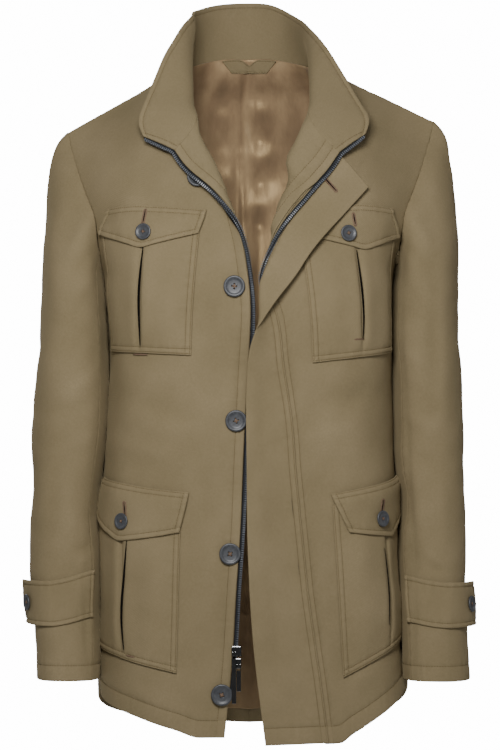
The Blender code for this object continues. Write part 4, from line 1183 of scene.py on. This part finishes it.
# Buttonholes: the cloth, then x and z of both ends of the slit, in mm.
BUTTONHOLES = (
    ("chest_flap_right", -119.5, -190.5, -122, -204.5), ("chest_flap_left", 120, -195, 122, -207),
    ("hip_flap_right", -144, -527.5, -143, -541), ("hip_flap_left", 155, -525, 153, -538),
    ("fly_placket", 86, -152, 100, -168),
)
# Bar tacks: the cloth, then x and z of both ends, in mm.
TACKS = (
    ("chest_pocket_right", -134, -356, -117, -356.5), ("chest_pocket_left", 121, -339, 133, -338.5),
    ("hip_pocket_right", -142, -703, -132, -705),
)
# The twist round a buttonhole: its points, and how far from the slit it runs, in mm.
TWIST_POINTS, TWIST_REACH = 28, 1.35
# How far the middle of each of these stands above the cloth and its radius, in mm, and its height
# as a share of its width.
TWIST, SLIT_SHADE, TACK = (0.3, 0.85, 0.6), (0.75, 0.75, 0.35), (0.2, 0.9, 0.6)
# Where a pocket's pleat stands open: the cloth, its greatest width, and points down it, in mm.
PLEATS = (
    (
        "chest_pocket_right", 2.5,
        ((-121.8, -230), (-124.4, -253), (-127.0, -286), (-126.7, -319), (-125.6, -346)),
    ),
    ("chest_pocket_left", 2.1, ((123.7, -236), (129.2, -276), (132.0, -318), (131.0, -338))),
    ("hip_pocket_right", 2.4, ((-141.4, -571), (-144.6, -613), (-147.4, -659), (-144.6, -697))),
    ("hip_pocket_left", 1.0, ((156.7, -580), (161.8, -632), (162.1, -668))),
)
# The dark strip of painted shade in a pleat: its rows of points, how far outside it the lips are
# felt for, how far it stands in front of them, and half its width at its tips, in mm.
PLEAT_ROWS, LIP_REACH, PLEAT_AHEAD, PLEAT_TIP = 24, 1.6, 0.55, 0.1
# Its section: shares of half its width, and mm towards the back.
PLEAT_SECTION = ((-1, 0.5), (-0.7, 0), (0.7, 0), (1, 0.5), (1, 2.2), (-1, 2.2))


def make_pleat_shade():
    """A dark strip between the lips of each pleat, for the shaded cloth inside it."""
    mesh = bmesh.new()
    for node, wide, spots in PLEATS:
        spots = np.array(spots, float)
        along = chords(spots)
        curve = smooth_line(spots, along, np.linspace(0, along[-1], PLEAT_ROWS))
        lips = wide / 2 + LIP_REACH
        depths = [min(on_cloth(node, x + way * lips, z)[0][1] for way in (-1, 1)) for x, z in curve]
        depths = np.convolve(np.pad(depths, 3, "edge"), np.ones(7) / 7, "valid") - PLEAT_AHEAD * MM
        rows = []
        for i, ((x, z), y) in enumerate(zip(curve, depths)):
            swell = math.sin(math.pi * (0.06 + 0.88 * i / (PLEAT_ROWS - 1))) ** 0.8
            half = PLEAT_TIP + wide / 2 * swell
            rows.append([
                mesh.verts.new(((x + half * share) * MM, y + back * MM, z * MM))
                for share, back in PLEAT_SECTION
            ])
        skin_rings(mesh, rows)
    finished(mesh, "painted_pleat_shade", "shade")


def make_buttonholes():
    """Twist round each buttonhole, a dark thread for its slit, and the bar tacks."""
    rim, slit = bmesh.new(), bmesh.new()
    for node, x0, z0, x1, z1 in BUTTONHOLES:
        ends = np.array([x0, z0]), np.array([x1, z1])
        along = np.array([x1 - x0, z1 - z0]) / math.hypot(x1 - x0, z1 - z0)
        out = np.array([-along[1], along[0]])
        lift, radius, flat = TWIST
        ring = []
        for i in range(TWIST_POINTS):
            turn = 2 * math.pi * i / TWIST_POINTS
            spot = TWIST_REACH * (along * math.cos(turn) + out * math.sin(turn))
            ring.append(on_cloth(node, *(ends[math.cos(turn) >= 0] + spot)))
        tube(rim, [p + n * lift * MM for p, n in ring], [n for _, n in ring], radius, flat, closed=True)
        # Painted shade: a dark tube that stands for the open slit.
        lift, radius, flat = SLIT_SHADE
        (p0, n), (p1, _) = (on_cloth(node, *end) for end in ends)
        p0, p1 = p0 + n * lift * MM, p1 + n * lift * MM
        tube(slit, [p0, (p0 + p1) / 2, p1], [n] * 3, radius, flat)
    for node, x0, z0, x1, z1 in TACKS:
        lift, radius, flat = TACK
        spots = [on_cloth(node, x0 + (x1 - x0) * t, z0 + (z1 - z0) * t) for t in np.linspace(0, 1, 6)]
        tube(rim, [p + n * lift * MM for p, n in spots], [n for _, n in spots], radius, flat)
    finished(rim, "buttonhole_twist", "twist")
    finished(slit, "buttonhole_slits", "shade")


# What each piece of stitching sews, by the start of the nodes' names.
STITCHING = {
    "stitches_fronts": ("front_", "facing_", "fly_placket"),
    "stitches_pockets": ("chest_", "hip_"),
    "stitches_sleeves": ("top_sleeve", "under_sleeve", "cuff_tab"),
    "stitches_back": ("back_right", "back_left"),
    "stitches_neck": ("collar", "hanger_loop"),
}
# A stitch's length as a share of its pitch, and its width and height in mm.
STITCH_SHARE, STITCH_WIDTH, STITCH_HEIGHT = 0.76, 0.66, 0.5


def make_sewing(look):
    """Every row of stitches, the pleats' dark insides, the buttonholes and the tacks."""
    size = look.stitch_pitch * STITCH_SHARE, STITCH_WIDTH, STITCH_HEIGHT
    for name, starts in STITCHING.items():
        skins = [skin for node, skin in made["skins"].items() if node.startswith(starts)]
        lines = [line for skin in skins for line in stitch_lines(skin)]
        repeated(name, lines, "stitch", look.stitch_pitch, size, "thread")
    make_pleat_shade()
    make_buttonholes()


# ---------------------------------------------------------------- buttons and zip

# The buttons' nodes and heights in mm.
FRONT_BUTTONS = tuple(f"front_button_{i}" for i in range(1, 6))
SMALL_BUTTONS = tuple(f"{place}_button_{side}" for place in ("chest", "hip", "cuff") for side in SIDES)
FRONT_HEIGHT, SMALL_HEIGHT = 4.0, 3.4
# A button turned on a lathe, from the middle of its face round to its back: shares of its radius
# and of half its height.
BUTTON_PROFILE = (
    (0.0, 0.30), (0.30, 0.30), (0.56, 0.33), (0.66, 0.42), (0.72, 0.62), (0.80, 0.86),
    (0.88, 0.94), (0.95, 0.82), (0.99, 0.55), (1.0, 0.2), (0.97, -0.3), (0.9, -0.62),
    (0.72, -0.82), (0.35, -0.9), (0.0, -0.92),
)
BUTTON_STEPS = 40
# A button's four holes: how far from its middle and how wide, as shares of its radius, and the
# turn of each. Its thread reaches a little past them, and is this thick, as shares of its radius.
HOLE_PLACE, HOLE_RADIUS = 0.2, 0.085
HOLE_TURNS = [math.pi / 4 + k * math.pi / 2 for k in range(4)]
THREAD_REACH, THREAD_RADIUS = 0.215, 0.075
# The turn of the first button about its own axis, and how much further each next one is turned.
FIRST_TURN, NEXT_TURN = 0.35, 0.37


def turned_button(radius, height):
    """A raised rim round a shallow dish, with no holes yet."""
    mesh = bmesh.new()
    turns = [2 * math.pi * k / BUTTON_STEPS for k in range(BUTTON_STEPS)]
    rings = []
    for share, lift in BUTTON_PROFILE:
        r, z = share * radius * MM, lift * height / 2 * MM
        around = turns if share else turns[:1]
        rings.append([mesh.verts.new((r * math.cos(turn), r * math.sin(turn), z)) for turn in around])
    for one, two in zip(rings, rings[1:]):
        for k in range(BUTTON_STEPS):
            n = (k + 1) % BUTTON_STEPS
            if len(one) == 1:
                mesh.faces.new((one[0], two[k], two[n]))
            elif len(two) == 1:
                mesh.faces.new((one[k], two[0], one[n]))
            else:
                mesh.faces.new((one[k], two[k], two[n], one[n]))
    bmesh.ops.recalc_face_normals(mesh, faces=mesh.faces)
    return mesh


def button_mesh(radius, height):
    """A turned button with its four holes cut through."""
    drills = bmesh.new()
    out, wide = HOLE_PLACE * radius * MM, HOLE_RADIUS * radius * MM
    for turn in HOLE_TURNS:
        bmesh.ops.create_cone(
            drills, cap_ends=True, segments=12, radius1=wide, radius2=wide, depth=3 * height * MM,
            matrix=Matrix.Translation((out * math.cos(turn), out * math.sin(turn), 0)),
        )
    both = []
    for name, mesh in (("turned", turned_button(radius, height)), ("drills", drills)):
        both.append(new_object(name, bpy.data.meshes.new(name)))
        mesh.to_mesh(both[-1].data)
        mesh.free()
    body, cutter = both
    cut = body.modifiers.new("holes", "BOOLEAN")
    cut.operation, cut.object, cut.solver = "DIFFERENCE", cutter, "EXACT"
    bpy.context.view_layer.update()
    graph = bpy.context.evaluated_depsgraph_get()
    result = bpy.data.meshes.new_from_object(body.evaluated_get(graph), depsgraph=graph)
    for obj in both:
        bpy.data.objects.remove(obj)
    return result


def node_axes(node, towards):
    """A round node's centre, the axis it is thinnest along, facing this way, and an up direction."""
    points = np.array([v.co[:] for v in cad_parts[node].data.vertices])
    points = np.unique(np.round(points, 6), axis=0)
    centre = points.mean(0)
    axis = np.linalg.svd(points - centre, full_matrices=False)[2][-1]
    if axis @ np.array(towards, float) < 0:
        axis = -axis
    up = np.array([0, 0, 1.0]) - axis[2] * axis
    up /= np.linalg.norm(up)
    return centre, axis, up


def thread_on(name, radius, floor, x, y, axis):
    """The crossed thread through a button's four holes."""
    thread = bmesh.new()
    reach = THREAD_REACH * radius * MM
    for turn in HOLE_TURNS[:2]:
        way = x * math.cos(turn) + y * math.sin(turn)
        line = [
            floor + way * reach * t + axis * (0.55 * math.cos(1.45 * t) - 0.15) * MM
            for t in np.linspace(-1, 1, 7)
        ]
        tube(thread, line, [axis] * 7, THREAD_RADIUS * radius, 0.8)
    finished(thread, "thread_" + name, "twist")


def make_buttons(look):
    """Each button, turned a little further than the last, and its thread."""
    sizes = {name: (look.front_button / 2, FRONT_HEIGHT) for name in FRONT_BUTTONS}
    sizes |= {name: (look.small_button / 2, SMALL_HEIGHT) for name in SMALL_BUTTONS}
    shapes = {size: button_mesh(*size) for size in set(sizes.values())}
    for i, (name, (radius, height)) in enumerate(sizes.items()):
        side = name.rsplit("_", 1)[1]
        centre, axis, up = node_axes(name, (SIDES[side], -0.6, 0) if "cuff" in name else (0, -1, 0))
        turn = FIRST_TURN + NEXT_TURN * i
        x = np.cross(up, axis) * math.cos(turn) + up * math.sin(turn)
        y = np.cross(axis, x)
        data = shapes[radius, height].copy()
        data.transform(Matrix([[x[r], y[r], axis[r], centre[r]] for r in range(3)] + [[0, 0, 0, 1]]))
        data.shade_smooth()
        data.materials.clear()
        data.materials.append(made["resin"])
        piece = new_object("resin_" + name, data)
        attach(piece, "jacket")
        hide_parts(name)
        thread_on(name, radius, centre + axis * 0.3 * height / 2 * MM, x, y, axis)


# A zip tooth's length along the tape, its width and its height, in mm, how far its line stands
# above the tape, and which line of the tape's points from the free edge it follows.
TOOTH, TOOTH_LIFT, TOOTH_COLUMN = (1.3, 3.0, 1.6), 0.5, 2


def make_zip(look):
    """Zip teeth along the free edge of each tape, and enamel on the sliders and pulls."""
    lines = []
    for side, k in SIDES.items():
        for points, normals in made["skins"]["zip_tape_" + side]["faces"]:
            lower = points[len(points) // 2 :, :, 0]
            free_first = (lower[:, 0].mean() - lower[:, -1].mean()) * k < 0
            c = TOOTH_COLUMN if free_first else points.shape[1] - 1 - TOOTH_COLUMN
            facing = normals[2:-2, c]
            lines.append((points[2:-2, c] + facing * TOOTH_LIFT * MM, facing))
    repeated("zip_teeth", lines, "tooth", look.tooth_pitch, TOOTH, "acetal")
    for name in ("slider_upper", "slider_lower", "pull_upper", "pull_lower"):
        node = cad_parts[name]
        node.data.materials.clear()
        node.data.materials.append(made["enamel"])


# ---------------------------------------------------------------- stage


# The camera: level with the middle of the jacket and straight before it, in metres, its lens and
# film in mm.
CAMERA_PLACE, LENS, FILM = (0.001, -4.0, -0.380), 162, 36
FLOOR_RADIUS, FLOOR_LEVEL = 4.2, -1.5
# The lamps: place, width, power as a share of the key light's, and what it is aimed at, in metres.
LAMPS = {
    "key": ((-0.12, -1.35, 0.16), 0.4, 1.0, (0, -0.1, -0.33)),
    "fill": ((1.6, -2.8, -0.1), 1.4, 0.4, (0, 0, -0.4)),
    "back": ((-0.7, 2.6, 0.8), 1.6, 2.0, (0, 0, -0.4)),
    "side_left": ((2.8, 0.7, 0.3), 1.4, 0.45, (0, 0, -0.4)),
    "side_right": ((-2.8, 0.7, 0.3), 1.4, 0.45, (0, 0, -0.4)),
}
# The plain backdrop, bright enough to come out white.
BACKDROP = 15.0


def make_stage(look):
    """The camera, a pale floor, soft lamps, and an even light before a white backdrop."""
    scene = bpy.context.scene
    scene.camera = new_object("camera", bpy.data.cameras.new("camera"))
    scene.camera.location, scene.camera.rotation_euler = CAMERA_PLACE, (math.pi / 2, 0, 0)
    film = scene.camera.data
    film.lens, film.sensor_width, film.clip_start = LENS, FILM, 0.01
    bpy.ops.mesh.primitive_circle_add(
        vertices=64, radius=FLOOR_RADIUS, fill_type="NGON", location=(0, 0, FLOOR_LEVEL)
    )
    floor = bpy.context.object
    floor.name = "floor"
    # Painted plaster floor: pale, matt, rolled on evenly.
    material, tree = new_material("painted_floor")
    place = add(tree, "ShaderNodeTexCoord").outputs["Object"]
    grain = add(tree, "ShaderNodeTexNoise", {"Vector": place, "Scale": 3.0}).outputs[0]
    shaded(tree, ramp(tree, grain, ((0.3, "#ededeb"), (0.7, "#f2f2f0"))), grain, 0.1, Roughness=0.9)
    floor.data.materials.append(material)
    for name, (place, width, share, aim) in LAMPS.items():
        lamp = new_object(name, bpy.data.lights.new(name, "AREA"))
        lamp.data.size, lamp.data.energy = width, look.key_power * share
        lamp.location = place
        lamp.rotation_euler = (Vector(aim) - Vector(place)).to_track_quat("-Z", "Y").to_euler()
    world = bpy.data.worlds.new("studio")
    scene.world = world
    world.use_nodes = True
    tree = world.node_tree
    tree.nodes.clear()
    seen = add(tree, "ShaderNodeLightPath").outputs["Is Camera Ray"]
    white = (1, 1, 1, 1)
    soft = add(tree, "ShaderNodeBackground", {"Color": white, "Strength": look.ambient})
    paper = add(tree, "ShaderNodeBackground", {"Color": white, "Strength": BACKDROP})
    mixed = add(tree, "ShaderNodeMixShader", {"Fac": seen, 1: soft.outputs[0], 2: paper.outputs[0]})
    add(tree, "ShaderNodeOutputWorld", {"Surface": mixed.outputs[0]})


# ---------------------------------------------------------------- add-on


class JacketLook(bpy.types.PropertyGroup):
    """What a user would change: the light, the sewing, the buttons and the cloth's colour."""

    key_power: bpy.props.FloatProperty(
        name="Key light", description="Power of the large soft light, in watts",
        default=20.0, min=0, unit="POWER",
    )
    ambient: bpy.props.FloatProperty(
        name="Ambient", description="Strength of the even light all round",
        default=0.12, min=0, max=3,
    )
    stitch_pitch: bpy.props.FloatProperty(
        name="Stitch pitch", description="One stitch to the next, in mm",
        default=3.1, min=2, max=6,
    )
    tooth_pitch: bpy.props.FloatProperty(
        name="Tooth pitch", description="One zip tooth to the next, in mm",
        default=2.6, min=2, max=5,
    )
    front_button: bpy.props.FloatProperty(
        name="Front buttons", description="Width of a front button, in mm",
        default=25.0, min=18, max=30,
    )
    small_button: bpy.props.FloatProperty(
        name="Small buttons", description="Width of a pocket or cuff button, in mm",
        default=19.0, min=12, max=24,
    )
    cloth_colour: bpy.props.FloatVectorProperty(
        name="Cloth", description="Tint over the cloth's own khaki",
        subtype="COLOR", size=3, min=0, max=2, default=(1, 1, 1),
    )


def step_operator(name, words, step):
    """An operator, with this label and docstring, that takes one step of the making."""

    def execute(self, context):
        step(context.scene.jacket_look)
        return {"FINISHED"}

    values = {"bl_idname": "jacket." + name, "bl_label": words, "__doc__": words, "execute": execute}
    return type("JACKET_OT_" + name, (bpy.types.Operator,), values)


def cloth_operator(name, words, source):
    """An operator that makes one group of like cloth pieces."""

    def step(look):
        for cloth in source():
            make_skin(cloth)

    return step_operator(name, words, step)


OPERATORS = (
    cloth_operator("panels", "Make the fronts, backs and facings", panels),
    cloth_operator("sleeves", "Make the sleeves and cuff tabs", sleeves),
    cloth_operator("neck", "Make the collar, lining and loop", neck),
    cloth_operator("pockets", "Make the pockets and flaps", pockets),
    cloth_operator("fly", "Make the fly and the zip tapes", fly),
    step_operator("sewing", "Sew the rows, buttonholes and tacks", make_sewing),
    step_operator("buttons", "Turn the buttons and thread them on", make_buttons),
    step_operator("zip", "Set the zip teeth and enamel the sliders", make_zip),
    step_operator("stage", "Set up the camera, floor and soft light", make_stage),
)


class JACKET_PT_panel(bpy.types.Panel):
    """Lists the jacket's steps"""

    bl_label = "Field jacket"
    bl_idname = "JACKET_PT_panel"
    bl_space_type = "VIEW_3D"
    bl_region_type = "UI"
    bl_category = "Field jacket"

    def draw(self, context):
        for name in JacketLook.__annotations__:
            self.layout.prop(context.scene.jacket_look, name)
        for operator in OPERATORS:
            self.layout.operator(operator.bl_idname)


def register():
    for cls in (JacketLook, *OPERATORS, JACKET_PT_panel):
        bpy.utils.register_class(cls)
    bpy.types.Scene.jacket_look = bpy.props.PointerProperty(type=JacketLook)


def unregister():
    del bpy.types.Scene.jacket_look
    for cls in (JACKET_PT_panel, *reversed(OPERATORS), JacketLook):
        bpy.utils.unregister_class(cls)


def main():
    register()
    make_materials(bpy.context.scene.jacket_look)
    for operator in OPERATORS:
        getattr(bpy.ops.jacket, operator.bl_idname.split(".")[1])()


if __name__ == "__main__":
    main()
